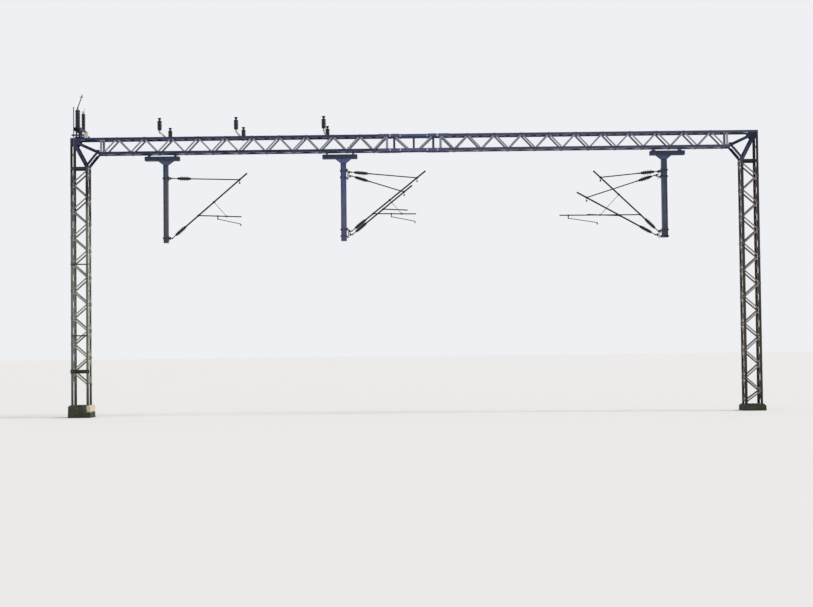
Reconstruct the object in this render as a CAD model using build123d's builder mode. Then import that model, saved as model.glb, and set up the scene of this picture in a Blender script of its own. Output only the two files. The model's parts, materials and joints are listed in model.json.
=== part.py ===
from build123d import *
import math
import os

# A portal over four railway tracks that holds up the overhead line.
# Millimetres. +X runs across the tracks to the right, +Y along the track away from the
# viewer, +Z up. The origin is the centre of the left plinth's bottom face.

# Portal
portal_width = 22000
boom_top = 8950
boom_height = 530
tower_width = 560
tower_depth = 500

# Plinths
plinth_length = 720
plinth_width = 800
left_plinth_height = 400
right_plinth_height = 210
plinth_chamfer = 40
leg_socket = 140

# Angles of the chords and legs, and of the lacing
chord_leg = 75
chord_plate = 8
lacing_bar = 45
lacing_plate = 5
batten_bar = 75
knee_bar = 70
knee_plate = 6
knee_standing_share = 0.72
knee_corner_inset = 18
knee_leg_inset = 24
knee_chord_lift = 45
corner_gusset = 280
corner_gusset_nose = 140
chord_gusset_half = 60
chord_gusset_foot = 23
chord_gusset_top = 140
standing_leg_gap = 12

# Uprights
knee_height = 8030
tower_top_node = 7900
tower_pitch = 428
left_tower_bars = 16
right_tower_bars = 17
right_foot_node = 280
outer_batten_heights = (8450, 8810)

# Boom
end_post_setback = 985
bottom_chord_setback = 880
first_node_gap = 82
boom_half_panels = 21
post_bar = 65
splice_offset = 760
splice_gap = 14
outer_splice_post = 861
inner_splice_post = 627
centre_diagonal_foot = 145
splice_cover_length = 680
splice_cover_centre = 800
splice_plate = 8

# Drop arms: centre X, depth of section, side of the cantilevers
left_arm_x = 2740
middle_arm_x = 8450
right_arm_x = 18740
left_arm_depth = 152
wide_arm_depth = 178
arm_flange = 152
arm_flange_plate = 11
arm_web_plate = 7
arm_foot = 5560
arm_foot_plate = 10
arm_wing_width = 530
arm_wing_taper = 140
arm_wing_lap = 100
arm_wing_plate = 8

# Channels that carry the arms
cross_channel_depth = 125
cross_channel_flange = 65
channel_plate = 6
cross_channel_near = 450
cross_channel_far = 670
hanger_depth = 85
hanger_flange = 50
hanger_near = 320
hanger_far = 520
hanger_overhang = 40

# Swivel brackets
swivel_pin_radius = 10
swivel_running_gap = 0.05
swivel_eye_radius = 22
swivel_eye_height = 44
swivel_end_gap = 0.3
ear_plate = 12
ear_width = 52
ear_nose = 26
ear_round = 20
pin_head_radius = 16
pin_head_height = 10
bracket_plate = 12
bracket_height = 150
bracket_side_lap = 30
strap_plate = 10
strap_height = 60
strap_bolt_radius = 8
strap_bolt_gap = 4
pivot_reach = 46
twin_pivot_spread = 290
twin_rail = 50
twin_rail_plate = 6
twin_rail_spread = 210
twin_end_overhang = 45
left_levels = (7640, 5710)
middle_levels = ((7740, 7680), (5850, 5790))
right_levels = ((7650, 7590), (5735, 5670))

# Cantilever tubes and insulators
bracket_tube_radius = 24.5
stay_tube_radius = 17
register_tube_radius = 17
dropper_radius = 7
collar_wall = 9
collar_length = 60
tip_cap_wall = 4
tip_cap_length = 25
knuckle_reach = 62
knuckle_radius = 24
knuckle_width = 44
stub_radius = 14
stay_rod_length = 125
bracket_rod_length = 95
cap_radius = 36
cap_length = 50
core_radius = 40
shed_radius = 72
shed_count = 5
shed_pitch = 76

# One shed of an insulator: share of the pitch, and share of the way from core to rim
shed_shape = ((0.2, 0), (0.54, 1), (0.66, 1), (0.8, 0))

# Wire fittings
clamp_drop = 110
clamp_bore = 5.5
clamp_length = 70
clamp_size = 44
clamp_hanger = 14
clamp_hanger_length = 42
clamp_round = 9
steady_drop = 95
steady_pin_radius = 7
steady_running_gap = 0.05
steady_eye_radius = 17
steady_eye_width = 26
steady_cheek = 6
steady_cheek_width = 27
steady_cheek_gap = 0.5
steady_rod_radius = 11
steady_clip = 30
steady_clip_length = 48
steady_clip_height = 60
steady_block = 40

# Line posts on the boom: centre X of each cross-arm
line_post_positions = (2720, 5130, 7890)
line_arm_half_length = 1110
line_arm_leg = 50
line_arm_plate = 6
line_post_offset = 1050
spindle_radius = 13
spindle_height = 40
post_core_radius = 45
post_shed_radius = 70
post_shed_count = 4
post_shed_pitch = 62
post_base_radius = 50
post_base_height = 50
post_neck_radius = 28
post_neck_height = 28
post_cap_radius = 55
post_cap_taper = 45
post_cap_height = 16

# Isolating switch on the left upright
stool_leg = 50
stool_leg_plate = 6
stool_leg_spread = 160
stool_leg_height = 200
stool_rail_depth = 50
stool_rail_half_length = 240
stool_rail_height = 90
stool_channel_depth = 100
stool_channel_flange = 50
stool_channel_half_length = 540
isolator_half_span = 420
isolator_core_radius = 48
isolator_shed_radius = 75
isolator_sheds_in_unit = 3
isolator_shed_pitch = 76
isolator_flange_radius = 52
isolator_flange_height = 26
blade_open_angle = 38
blade_height = 40
blade_plate = 16
blade_tip_overhang = 35
blade_eye_radius = 28
blade_eye_width = 22
blade_pin_radius = 10
blade_running_gap = 0.05
blade_cheek = 9
blade_cheek_gap = 0.5
blade_pivot_height = 70
blade_bar_inset = 140
blade_bar_size = 16
blade_bar_length = 120
jaw_clearance = 5
jaw_plate = 8
jaw_length = 80
jaw_height = 60
horn_radius = 6
horn_length = 120

# Operating rod of the switch
rod_x = -162
rod_radius = 15
rod_stand_off = 34
rod_top = 9940
rod_guide_heights = (2613, 4893, 7970)
rod_guide_bar = 40
rod_guide_plate = 6
rod_guide_gap = 0.4
rod_lug_width = 54
rod_lug_wall = 12
gear_channel_centre = 1469
gear_channel_depth = 118
gear_channel_flange = 50
gear_channel_length = 600

# Places worked out from the values above
portal_centre = (portal_width - tower_width) / 2
right_tower_x = portal_width - tower_width
half_tower = tower_width / 2
half_depth = tower_depth / 2
boom_bottom = boom_top - boom_height
boom_middle = (boom_top + boom_bottom) / 2
outer_face = -half_tower
chord_inner = half_depth - chord_plate
chord_line = half_depth - chord_leg / 2
leg_line = half_tower - chord_leg / 2
end_post_x = outer_face + end_post_setback
bottom_chord_x = outer_face + bottom_chord_setback
splice_x = portal_centre - splice_offset
first_node_x = end_post_x + first_node_gap
last_node_x = portal_centre - outer_splice_post
boom_pitch = (last_node_x - first_node_x) / boom_half_panels
channel_top = boom_bottom - hanger_depth
channel_bottom = channel_top - cross_channel_depth
half_flange = arm_flange / 2
ear_gap = swivel_eye_height / 2 + swivel_end_gap
all_corners = ((1, 1), (-1, 1), (1, -1), (-1, -1))
os.makedirs("parts", exist_ok=True)


def save(part, name):
    part.label = name
    export_step(part, "parts/" + name + ".step")


def corner_angles(plane, half_x, half_y, corners, length):
    """Angles of chord size at the corners of a rectangle, each toe pointing inwards."""
    with BuildPart() as bars:
        with BuildSketch(plane):
            for side_x, side_y in corners:
                outline = [
                    (half_x, half_y),
                    (half_x - chord_leg, half_y),
                    (half_x - chord_leg, half_y - chord_plate),
                    (half_x - chord_plate, half_y - chord_plate),
                    (half_x - chord_plate, half_y - chord_leg),
                    (half_x, half_y - chord_leg),
                ]
                with BuildLine():
                    Polyline([(side_x * x, side_y * y) for x, y in outline], close=True)
                make_face()
        extrude(amount=length)
    return bars.part


def zigzag(first, pitch, count, near, far):
    """Bars of a zigzag: it starts at (first, near) and crosses to far and back."""
    bars = []
    for step in range(count):
        ends = (near, far) if step % 2 == 0 else (far, near)
        bars.append(((first + step * pitch, ends[0]), (first + (step + 1) * pitch, ends[1])))
    return bars


def swapped(bars):
    return [((y1, x1), (y2, x2)) for (x1, y1), (x2, y2) in bars]


def bar_face(plane, bars, width, plate, stand, inner_share):
    """Angles in one plane, fused where their ends cross, with a standing leg on each."""
    with BuildPart() as face:
        with BuildSketch(plane):
            for (x1, y1), (x2, y2) in bars:
                run = math.hypot(x2 - x1, y2 - y1)
                turn = math.degrees(math.atan2(y2 - y1, x2 - x1))
                with Locations(((x1 + x2) / 2, (y1 + y2) / 2)):
                    Rectangle(run, width, rotation=turn)
        extrude(amount=plate)
        with BuildSketch(plane):
            for (x1, y1), (x2, y2) in bars:
                run = math.hypot(x2 - x1, y2 - y1)
                turn = math.atan2(y2 - y1, x2 - x1)
                shift = (width - plate) / 2
                with Locations(
                    (
                        (x1 + x2) / 2 - shift * math.sin(turn),
                        (y1 + y2) / 2 + shift * math.cos(turn),
                    )
                ):
                    Rectangle(run * inner_share, plate, rotation=math.degrees(turn))
        extrude(amount=stand)
    return face.part


def standing_share(half_line):
    """Share of a bar's length that its standing leg has, clear of what it is fixed to."""
    return (half_line - chord_leg / 2 - standing_leg_gap) / half_line


def straight_bar(start, end, radius):
    """A round bar between two points."""
    along = Vector(*end) - Vector(*start)
    with BuildPart() as bar:
        with BuildSketch(Plane(origin=start, z_dir=along)):
            Circle(radius)
        extrude(amount=along.length)
    return bar.part


def turned(start, along, outline):
    """A solid of revolution: outline gives distance along the axis and radius."""
    side = Vector(*along).cross(Vector(0, 1, 0))
    if side.length < 0.5:
        side = Vector(1, 0, 0)
    with BuildPart() as body:
        with BuildSketch(Plane(origin=start, x_dir=along, z_dir=Vector(*along).cross(side))):
            with BuildLine():
                Polyline([(0, 0)] + outline + [(outline[-1][0], 0)], close=True)
            make_face()
        revolve(axis=Axis(start, along))
    return body.part


def shed_outline(start, count, pitch, core, shed):
    """Sheds along an insulator: a steep upper face, a thin rim and a flat lower face."""
    points = [(start, core)]
    for index in range(count):
        for along, out in shed_shape:
            points.append((start + (index + along) * pitch, core + out * (shed - core)))
    points.append((start + count * pitch, core))
    return points


# Plinths, with sockets that the legs are cast into
def plinth(centre_x, height):
    sockets = corner_angles(
        Plane.XY.offset(height - leg_socket), half_tower, half_depth, all_corners, leg_socket
    )
    with BuildPart() as block:
        with Locations((centre_x, 0, 0)):
            Box(
                plinth_length,
                plinth_width,
                height,
                align=(Align.CENTER, Align.CENTER, Align.MIN),
            )
        chamfer(block.faces().sort_by(Axis.Z)[-1].edges(), plinth_chamfer)
        with Locations((centre_x, 0, 0)):
            add(sockets, mode=Mode.SUBTRACT)
    return block.part


save(plinth(0, left_plinth_height), "left_plinth")
save(plinth(right_tower_x, right_plinth_height), "right_plinth")


# Legs: the outer pair meets the top chord, the inner pair ends at the knee
def tower_legs(plinth_height):
    socket_z = plinth_height - leg_socket
    foot = Plane.XY.offset(socket_z)
    outer_run = boom_top - chord_leg - socket_z
    inner_run = knee_height - socket_z
    outer = corner_angles(foot, half_tower, half_depth, [(-1, 1), (-1, -1)], outer_run)
    inner = corner_angles(foot, half_tower, half_depth, [(1, 1), (1, -1)], inner_run)
    with BuildPart() as legs:
        add(outer)
        add(inner)
    return legs.part


tower_mirror = Plane.YZ.offset(portal_centre)
save(tower_legs(left_plinth_height), "left_upright_legs")
with BuildPart() as right_upright_legs:
    mirror(tower_legs(right_plinth_height), about=tower_mirror)
save(right_upright_legs.part, "right_upright_legs")


# Lacing of the uprights, drawn on the left one and mirrored for the right one
def tower_lacing(bars_down, foot_node):
    share = standing_share(leg_line)
    side_share = standing_share(chord_line)
    face = swapped(zigzag(tower_top_node, -tower_pitch, bars_down, leg_line, -leg_line))
    side = swapped(zigzag(tower_top_node, -tower_pitch, bars_down, chord_line, -chord_line))
    if foot_node is not None:
        last_z = tower_top_node - bars_down * tower_pitch
        turn = 1 if bars_down % 2 == 0 else -1
        face.append(((turn * leg_line, last_z), (-turn * leg_line, foot_node)))
        side.append(((turn * chord_line, last_z), (-turn * chord_line, foot_node)))
    front_plane = Plane(origin=(0, -chord_inner, 0), x_dir=(-1, 0, 0), z_dir=(0, 1, 0))
    leg_inner = -half_tower + chord_plate
    side_plane = Plane(origin=(leg_inner, 0, 0), x_dir=(0, 1, 0), z_dir=(1, 0, 0))
    face = [((-x1, y1), (-x2, y2)) for (x1, y1), (x2, y2) in face]
    front = bar_face(front_plane, face, lacing_bar, lacing_plate, lacing_bar, share)
    outer = bar_face(side_plane, side, lacing_bar, lacing_plate, lacing_bar, side_share)
    batten_z = knee_height - batten_bar / 2 - 2 * lacing_plate
    with BuildPart() as inner_battens:
        with BuildSketch(side_plane):
            with Locations((0, batten_z)):
                Rectangle(2 * chord_line, batten_bar)
        extrude(amount=knee_plate)
    with BuildPart() as outer_battens:
        with BuildSketch(side_plane):
            for height in (batten_z,) + outer_batten_heights:
                with Locations((0, height)):
                    Rectangle(2 * chord_line, batten_bar)
        extrude(amount=knee_plate)
    with BuildPart() as lacing:
        add(front)
        mirror(front, about=Plane.XZ)
        add(outer)
        add(outer_battens.part)
        mirror(outer, about=Plane.YZ)
        mirror(inner_battens.part, about=Plane.YZ)
    return lacing.part


save(tower_lacing(left_tower_bars, None), "left_upright_lacing")
with BuildPart() as right_upright_lacing:
    mirror(tower_lacing(right_tower_bars, right_foot_node), about=tower_mirror)
save(right_upright_lacing.part, "right_upright_lacing")


# Knee frames: the corner where the boom meets the upright, in the front and back faces
def knee_frame():
    top_corner = (-leg_line + knee_corner_inset, boom_top - chord_plate - knee_bar)
    chord_end = (bottom_chord_x + knee_bar / 2, boom_bottom + chord_plate + knee_chord_lift)
    brace_end = (bottom_chord_x - knee_bar / 2, boom_bottom + knee_bar / 2)
    leg_end = (leg_line - knee_leg_inset, knee_height)
    batten_z = knee_height - batten_bar / 2 - 2 * lacing_plate
    members = [
        (top_corner, chord_end),
        (top_corner, leg_end),
        (leg_end, brace_end),
        ((-leg_line, batten_z), (leg_line, batten_z)),
    ]
    face = Plane(origin=(0, -chord_inner, 0), x_dir=(1, 0, 0), z_dir=(0, -1, 0))
    frame = bar_face(face, members, knee_bar, -knee_plate, -knee_bar, knee_standing_share)
    corner_x = outer_face + chord_plate
    corner_z = boom_top - chord_plate
    left_x = bottom_chord_x - chord_gusset_half
    right_x = bottom_chord_x + chord_gusset_half
    with BuildPart() as plates:
        with BuildSketch(face):
            with BuildLine():
                Polyline(
                    [
                        (corner_x, corner_z),
                        (outer_face + corner_gusset, corner_z),
                        (outer_face + corner_gusset, boom_top - corner_gusset_nose),
                        (outer_face + corner_gusset_nose, boom_top - corner_gusset),
                        (corner_x, boom_top - corner_gusset),
                    ],
                    close=True,
                )
            make_face()
            with BuildLine():
                Polyline(
                    [
                        (left_x, boom_bottom + chord_gusset_foot),
                        (bottom_chord_x, boom_bottom + chord_plate),
                        (right_x, boom_bottom + chord_plate),
                        (right_x, boom_bottom + chord_gusset_top),
                        (left_x, boom_bottom + chord_gusset_top),
                    ],
                    close=True,
                )
            make_face()
        extrude(amount=-knee_plate)
    with BuildPart() as knee:
        add(frame)
        add(plates.part)
        mirror(about=Plane.XZ)
    return knee.part


left_knee = knee_frame()
with BuildPart() as knee_frames:
    add(left_knee)
    mirror(left_knee, about=tower_mirror)
save(knee_frames.part, "knee_frames")


# Boom chords: the top pair runs over the upright, the bottom pair starts past the knee
def chord_run(start_x, end_x, corners):
    middle = Plane(origin=(start_x, 0, boom_middle), x_dir=(0, 1, 0), z_dir=(1, 0, 0))
    return corner_angles(middle, half_depth, boom_height / 2, corners, end_x - start_x)


half_gap = splice_gap / 2
top_run = chord_run(outer_face, splice_x - half_gap, [(1, 1), (-1, 1)])
bottom_run = chord_run(bottom_chord_x, splice_x - half_gap, [(1, -1), (-1, -1)])
with BuildPart() as boom_left_chords:
    add(top_run)
    add(bottom_run)
save(boom_left_chords.part, "boom_left_chords")
with BuildPart() as boom_right_chords:
    mirror(boom_left_chords.part, about=tower_mirror)
save(boom_right_chords.part, "boom_right_chords")
centre_run = chord_run(splice_x + half_gap, 2 * portal_centre - splice_x - half_gap, all_corners)
save(centre_run, "boom_centre_chords")


# Boom lacing: zigzags between the end post and the splice post
front_face = Plane(origin=(0, -chord_inner, 0), x_dir=(1, 0, 0), z_dir=(0, -1, 0))
low_line = boom_bottom + chord_leg / 2
high_line = boom_top - chord_leg / 2
upright_share = standing_share((high_line - low_line) / 2)
flat_share = standing_share(chord_line)


def post_face(positions, plane, low, high):
    """Posts across a face, each an angle with its standing leg along the left edge."""
    with BuildPart() as posts:
        with BuildSketch(plane):
            for x in positions:
                with Locations((x, (low + high) / 2)):
                    Rectangle(post_bar, high - low)
        extrude(amount=-lacing_plate)
        with BuildSketch(plane):
            for x in positions:
                with Locations((x - post_bar / 2 + lacing_plate / 2, (low + high) / 2)):
                    Rectangle(lacing_plate, high - low - 2 * chord_leg + post_bar)
        extrude(amount=-post_bar)
    return posts.part


boom_bars = zigzag(first_node_x, boom_pitch, boom_half_panels, low_line, high_line)
boom_front = bar_face(
    front_face, boom_bars, lacing_bar, -lacing_plate, -lacing_bar, upright_share
)
posts_front = post_face((end_post_x, last_node_x), front_face, low_line, high_line)
with BuildPart() as boom_left_face_lacing:
    add(boom_front)
    add(posts_front)
    mirror(about=Plane.XZ)
save(boom_left_face_lacing.part, "boom_left_face_lacing")
with BuildPart() as boom_right_face_lacing:
    mirror(boom_left_face_lacing.part, about=tower_mirror)
save(boom_right_face_lacing.part, "boom_right_face_lacing")

top_face = Plane.XY.offset(boom_top - chord_plate)
bottom_face = Plane.XY.offset(boom_bottom + chord_plate)
flat_bars = zigzag(first_node_x, boom_pitch, boom_half_panels, chord_line, -chord_line)
tower_bars = zigzag(first_node_x, -boom_pitch, 2, chord_line, -chord_line)
top_lacing = bar_face(
    top_face,
    flat_bars + tower_bars,
    lacing_bar,
    -lacing_plate,
    -lacing_bar,
    flat_share,
)
bottom_lacing = bar_face(
    bottom_face, flat_bars, lacing_bar, lacing_plate, lacing_bar, flat_share
)
with BuildPart() as boom_left_flat_lacing:
    add(top_lacing)
    add(bottom_lacing)
save(boom_left_flat_lacing.part, "boom_left_flat_lacing")
with BuildPart() as boom_right_flat_lacing:
    mirror(boom_left_flat_lacing.part, about=tower_mirror)
save(boom_right_flat_lacing.part, "boom_right_flat_lacing")

# Centre section: three posts and two diagonals that lean towards the middle
inner_post_left = portal_centre - inner_splice_post
inner_post_right = portal_centre + inner_splice_post
centre_diagonals = [
    ((portal_centre - centre_diagonal_foot, low_line), (inner_post_left, high_line)),
    ((portal_centre + centre_diagonal_foot, low_line), (inner_post_right, high_line)),
]
centre_front = bar_face(
    front_face, centre_diagonals, lacing_bar, -lacing_plate, -lacing_bar, upright_share
)
centre_post_places = (inner_post_left, portal_centre, inner_post_right)
centre_posts = post_face(centre_post_places, front_face, low_line, high_line)
with BuildPart() as boom_centre_bracing:
    add(centre_front)
    add(centre_posts)
    mirror(about=Plane.XZ)
save(boom_centre_bracing.part, "boom_centre_bracing")

# Splice covers: angles outside the chords, over the gap between the girders
cover_start = portal_centre - splice_cover_centre - splice_cover_length / 2
with BuildPart() as left_covers:
    with BuildSketch(Plane(origin=(cover_start, 0, boom_middle), x_dir=(0, 1, 0), z_dir=(1, 0, 0))):
        for side_y, side_z in all_corners:
            half_z = boom_height / 2
            outer_y = half_depth + splice_plate
            outer_z = half_z + splice_plate
            outline = [
                (outer_y, outer_z),
                (half_depth - chord_leg, outer_z),
                (half_depth - chord_leg, half_z),
                (half_depth, half_z),
                (half_depth, half_z - chord_leg),
                (outer_y, half_z - chord_leg),
            ]
            with BuildLine():
                Polyline([(side_y * y, side_z * z) for y, z in outline], close=True)
            make_face()
    extrude(amount=splice_cover_length)
with BuildPart() as boom_splice_covers:
    add(left_covers.part)
    mirror(left_covers.part, about=tower_mirror)
save(boom_splice_covers.part, "boom_splice_covers")


# Drop arms: wide-flange sections that hang between two channels
def drop_arm(centre_x, depth):
    half = depth / 2
    with BuildPart() as arm:
        with BuildSketch(Plane.XY.offset(arm_foot + arm_foot_plate)):
            with Locations(
                (centre_x - half + arm_flange_plate / 2, 0),
                (centre_x + half - arm_flange_plate / 2, 0),
            ):
                Rectangle(arm_flange_plate, arm_flange)
            with Locations((centre_x, 0)):
                Rectangle(depth - arm_flange_plate, arm_web_plate)
        extrude(amount=channel_top - arm_foot - arm_foot_plate)
        with BuildSketch(Plane.XY.offset(arm_foot)):
            with Locations((centre_x, 0)):
                Rectangle(depth, arm_flange)
        extrude(amount=arm_foot_plate)
        with BuildSketch(
            Plane(origin=(centre_x, -half_flange, 0), x_dir=(1, 0, 0), z_dir=(0, -1, 0))
        ):
            with BuildLine():
                Polyline(
                    [
                        (-arm_wing_width / 2, channel_bottom + arm_wing_lap),
                        (-arm_wing_width / 2, channel_bottom),
                        (-half, channel_bottom - arm_wing_taper),
                        (half, channel_bottom - arm_wing_taper),
                        (arm_wing_width / 2, channel_bottom),
                        (arm_wing_width / 2, channel_bottom + arm_wing_lap),
                    ],
                    close=True,
                )
            make_face()
        extrude(amount=-arm_wing_plate)
        mirror(about=Plane.XZ)
    return arm.part


# Channels: a pair along the boom, back to back on the arm, and two hangers across it
def cross_channels(centre_x, side):
    start = centre_x - side * cross_channel_far
    run = side * (cross_channel_near + cross_channel_far)
    toe = half_flange + cross_channel_flange
    with BuildPart() as pair:
        with BuildSketch(Plane(origin=(start, 0, 0), x_dir=(0, 1, 0), z_dir=(1, 0, 0))):
            with BuildLine():
                Polyline(
                    [
                        (half_flange, channel_bottom),
                        (toe, channel_bottom),
                        (toe, channel_bottom + channel_plate),
                        (half_flange + channel_plate, channel_bottom + channel_plate),
                        (half_flange + channel_plate, channel_top - channel_plate),
                        (toe, channel_top - channel_plate),
                        (toe, channel_top),
                        (half_flange, channel_top),
                    ],
                    close=True,
                )
            make_face()
            mirror(about=Plane.YZ)
        extrude(amount=run)
    return pair.part


def hanger_channel(centre_x):
    half_run = half_depth + hanger_overhang
    with BuildPart() as hanger:
        with BuildSketch(Plane(origin=(centre_x, half_run, 0), x_dir=(1, 0, 0), z_dir=(0, -1, 0))):
            with BuildLine():
                Polyline(
                    [
                        (-hanger_flange / 2, channel_top),
                        (hanger_flange / 2, channel_top),
                        (hanger_flange / 2, channel_top + channel_plate),
                        (-hanger_flange / 2 + channel_plate, channel_top + channel_plate),
                        (-hanger_flange / 2 + channel_plate, boom_bottom - channel_plate),
                        (hanger_flange / 2, boom_bottom - channel_plate),
                        (hanger_flange / 2, boom_bottom),
                        (-hanger_flange / 2, boom_bottom),
                    ],
                    close=True,
                )
            make_face()
        extrude(amount=2 * half_run)
    return hanger.part


arms = (
    ("left", left_arm_x, left_arm_depth, 1),
    ("middle", middle_arm_x, wide_arm_depth, 1),
    ("right", right_arm_x, wide_arm_depth, -1),
)
pairs = []
hangers = []
for arm_name, arm_x, arm_depth, arm_side in arms:
    save(drop_arm(arm_x, arm_depth), arm_name + "_drop_arm")
    pairs.append(cross_channels(arm_x, arm_side))
    hangers.append(hanger_channel(arm_x + arm_side * hanger_near))
    hangers.append(hanger_channel(arm_x - arm_side * hanger_far))
with BuildPart() as arm_cross_channels:
    for pair in pairs:
        add(pair)
save(arm_cross_channels.part, "arm_cross_channels")
with BuildPart() as hanger_channels:
    for hanger in hangers:
        add(hanger)
save(hanger_channels.part, "hanger_channels")


# Swivel brackets: a plate on the arm's flange, two ears and a vertical pin, held by
# straps behind the far flange
def ears_and_pin(pivot, root_x):
    """Two ears that reach from root_x past a vertical pin."""
    x, y, z = pivot
    side = 1 if x > root_x else -1
    nose_x = x + side * ear_nose
    with BuildPart() as fork:
        for low in (z - ear_gap - ear_plate, z + ear_gap):
            with BuildSketch(Plane.XY.offset(low)):
                with Locations(((root_x + nose_x) / 2, y)):
                    Rectangle(abs(nose_x - root_x), ear_width)
            extrude(amount=ear_plate)
        edges = fork.edges().filter_by(Axis.Z).group_by(Axis.X)[-1 if side > 0 else 0]
        fillet(edges, ear_round)
        with BuildSketch(Plane.XY.offset(z - ear_gap - ear_plate)):
            with Locations((x, y)):
                Circle(swivel_pin_radius)
        extrude(amount=2 * (ear_gap + ear_plate))
        for low in (z - ear_gap - ear_plate - pin_head_height, z + ear_gap + ear_plate):
            with BuildSketch(Plane.XY.offset(low)):
                with Locations((x, y)):
                    Circle(pin_head_radius)
            extrude(amount=pin_head_height)
    return fork.part


def strap(arm_x, depth, side, level):
    """A strap behind the far flange, with a bolt each side of the arm."""
    half = depth / 2
    near_x = arm_x + side * half
    far_x = arm_x - side * half
    bolt_y = half_flange + strap_bolt_gap + strap_bolt_radius
    with BuildPart() as band:
        with BuildSketch(Plane(origin=(far_x, 0, level), x_dir=(0, 1, 0), z_dir=(-side, 0, 0))):
            Rectangle(2 * (bolt_y + bracket_side_lap / 2), strap_height)
        extrude(amount=strap_plate)
        bolt_start = far_x - side * 2 * strap_plate
        with BuildSketch(
            Plane(origin=(bolt_start, 0, level), x_dir=(0, 1, 0), z_dir=(side, 0, 0))
        ):
            with Locations((-bolt_y, 0), (bolt_y, 0)):
                Circle(strap_bolt_radius)
        extrude(amount=abs(near_x - far_x) + 2 * strap_plate)
    return band.part


def single_bracket(arm_x, depth, side, level):
    root_x = arm_x + side * (depth / 2)
    plate_x = root_x + side * bracket_plate
    bolt_y = half_flange + strap_bolt_gap + strap_bolt_radius
    fork = ears_and_pin((plate_x + side * pivot_reach, 0, level), plate_x)
    band = strap(arm_x, depth, side, level)
    with BuildPart() as bracket:
        with BuildSketch(Plane(origin=(root_x, 0, level), x_dir=(0, 1, 0), z_dir=(side, 0, 0))):
            Rectangle(2 * (bolt_y + bracket_side_lap / 2), bracket_height)
        extrude(amount=bracket_plate)
        add(fork)
        add(band)
    return bracket.part


def twin_bracket(arm_x, depth, side, front_level, back_level):
    root_x = arm_x + side * (depth / 2)
    end_x = root_x + side * twin_rail
    plate_x = end_x + side * bracket_plate
    pivot_x = plate_x + side * pivot_reach
    middle = (front_level + back_level) / 2
    forks = [
        ears_and_pin((pivot_x, -twin_pivot_spread, front_level), plate_x),
        ears_and_pin((pivot_x, twin_pivot_spread, back_level), plate_x),
    ]
    bands = [
        strap(arm_x, depth, side, middle - twin_rail_spread / 2),
        strap(arm_x, depth, side, middle + twin_rail_spread / 2),
    ]
    rail_half = twin_pivot_spread + twin_end_overhang
    with BuildPart() as bracket:
        for sign in (-1, 1):
            rail_z = middle + sign * twin_rail_spread / 2
            with BuildSketch(Plane(origin=(root_x, 0, rail_z), x_dir=(0, 1, 0), z_dir=(side, 0, 0))):
                Rectangle(2 * rail_half, strap_height)
            extrude(amount=twin_rail_plate)
            with BuildSketch(Plane(origin=(root_x, 0, rail_z), x_dir=(0, 1, 0), z_dir=(side, 0, 0))):
                with Locations((0, sign * (strap_height / 2 - twin_rail_plate / 2))):
                    Rectangle(2 * rail_half, twin_rail_plate)
            extrude(amount=twin_rail)
        with BuildSketch(Plane(origin=(end_x, 0, middle), x_dir=(0, 1, 0), z_dir=(side, 0, 0))):
            with Locations((-twin_pivot_spread, 0), (twin_pivot_spread, 0)):
                Rectangle(2 * twin_end_overhang, twin_rail_spread + strap_height)
        extrude(amount=bracket_plate)
        for fork in forks:
            add(fork)
        for band in bands:
            add(band)
    return bracket.part


single_pivot_reach = bracket_plate + pivot_reach
twin_pivot_reach = twin_rail + bracket_plate + pivot_reach

left_forks = [single_bracket(left_arm_x, left_arm_depth, 1, level) for level in left_levels]
middle_forks = [
    twin_bracket(middle_arm_x, wide_arm_depth, 1, front, back) for front, back in middle_levels
]
right_forks = [
    twin_bracket(right_arm_x, wide_arm_depth, -1, front, back) for front, back in right_levels
]
for bracket_name, forks in (
    ("left_arm_brackets", left_forks),
    ("middle_arm_brackets", middle_forks),
    ("right_arm_brackets", right_forks),
):
    with BuildPart() as brackets:
        for fork in forks:
            add(fork)
    save(brackets.part, bracket_name)


# Cantilevers. Each is a flat frame of tubes in a plane across the track. Distances are
# from the arm's centre line, positive towards the cantilever's own track.
def swivel_insulator(pivot, target, side, rod_length):
    """An eye on the pin, a knuckle, then rod, cap, sheds and cap towards the target."""
    x, y, z = pivot
    knuckle = Vector(x + side * knuckle_reach, y, z)
    along = (Vector(*target) - knuckle).normalized()
    sheds_start = rod_length + cap_length
    outline = [(0, stub_radius), (rod_length, stub_radius), (rod_length, cap_radius)]
    outline += [(sheds_start, cap_radius)]
    outline += shed_outline(sheds_start, shed_count, shed_pitch, core_radius, shed_radius)
    end = sheds_start + shed_count * shed_pitch
    outline += [(end, cap_radius), (end + cap_length, cap_radius)]
    body = turned(tuple(knuckle), tuple(along), outline)
    stub = straight_bar((x, y, z), tuple(knuckle), stub_radius)
    with BuildPart() as insulator:
        with BuildSketch(Plane.XY.offset(z - swivel_eye_height / 2)):
            with Locations((x, y)):
                Circle(swivel_eye_radius)
        extrude(amount=swivel_eye_height)
        add(stub)
        with BuildSketch(
            Plane(origin=(knuckle.X, y - knuckle_width / 2, z), x_dir=(1, 0, 0), z_dir=(0, 1, 0))
        ):
            Circle(knuckle_radius)
        extrude(amount=knuckle_width)
        add(body)
        with BuildSketch(Plane.XY.offset(z - swivel_eye_height / 2)):
            with Locations((x, y)):
                Circle(swivel_pin_radius + swivel_running_gap)
        extrude(amount=swivel_eye_height, mode=Mode.SUBTRACT)
    tube_start = knuckle + along * (end + cap_length)
    return insulator.part, tube_start, along


def collar(point, along, radius):
    """A clamp ring round a tube, centred on a point."""
    half = Vector(*along) * (collar_length / 2)
    centre = Vector(*point)
    return straight_bar(tuple(centre - half), tuple(centre + half), radius + collar_wall)


def point_on(start, along, x):
    """The point of a sloping tube at a given X."""
    reach = (x - start.X) / along.X
    return start + along * reach


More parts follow.
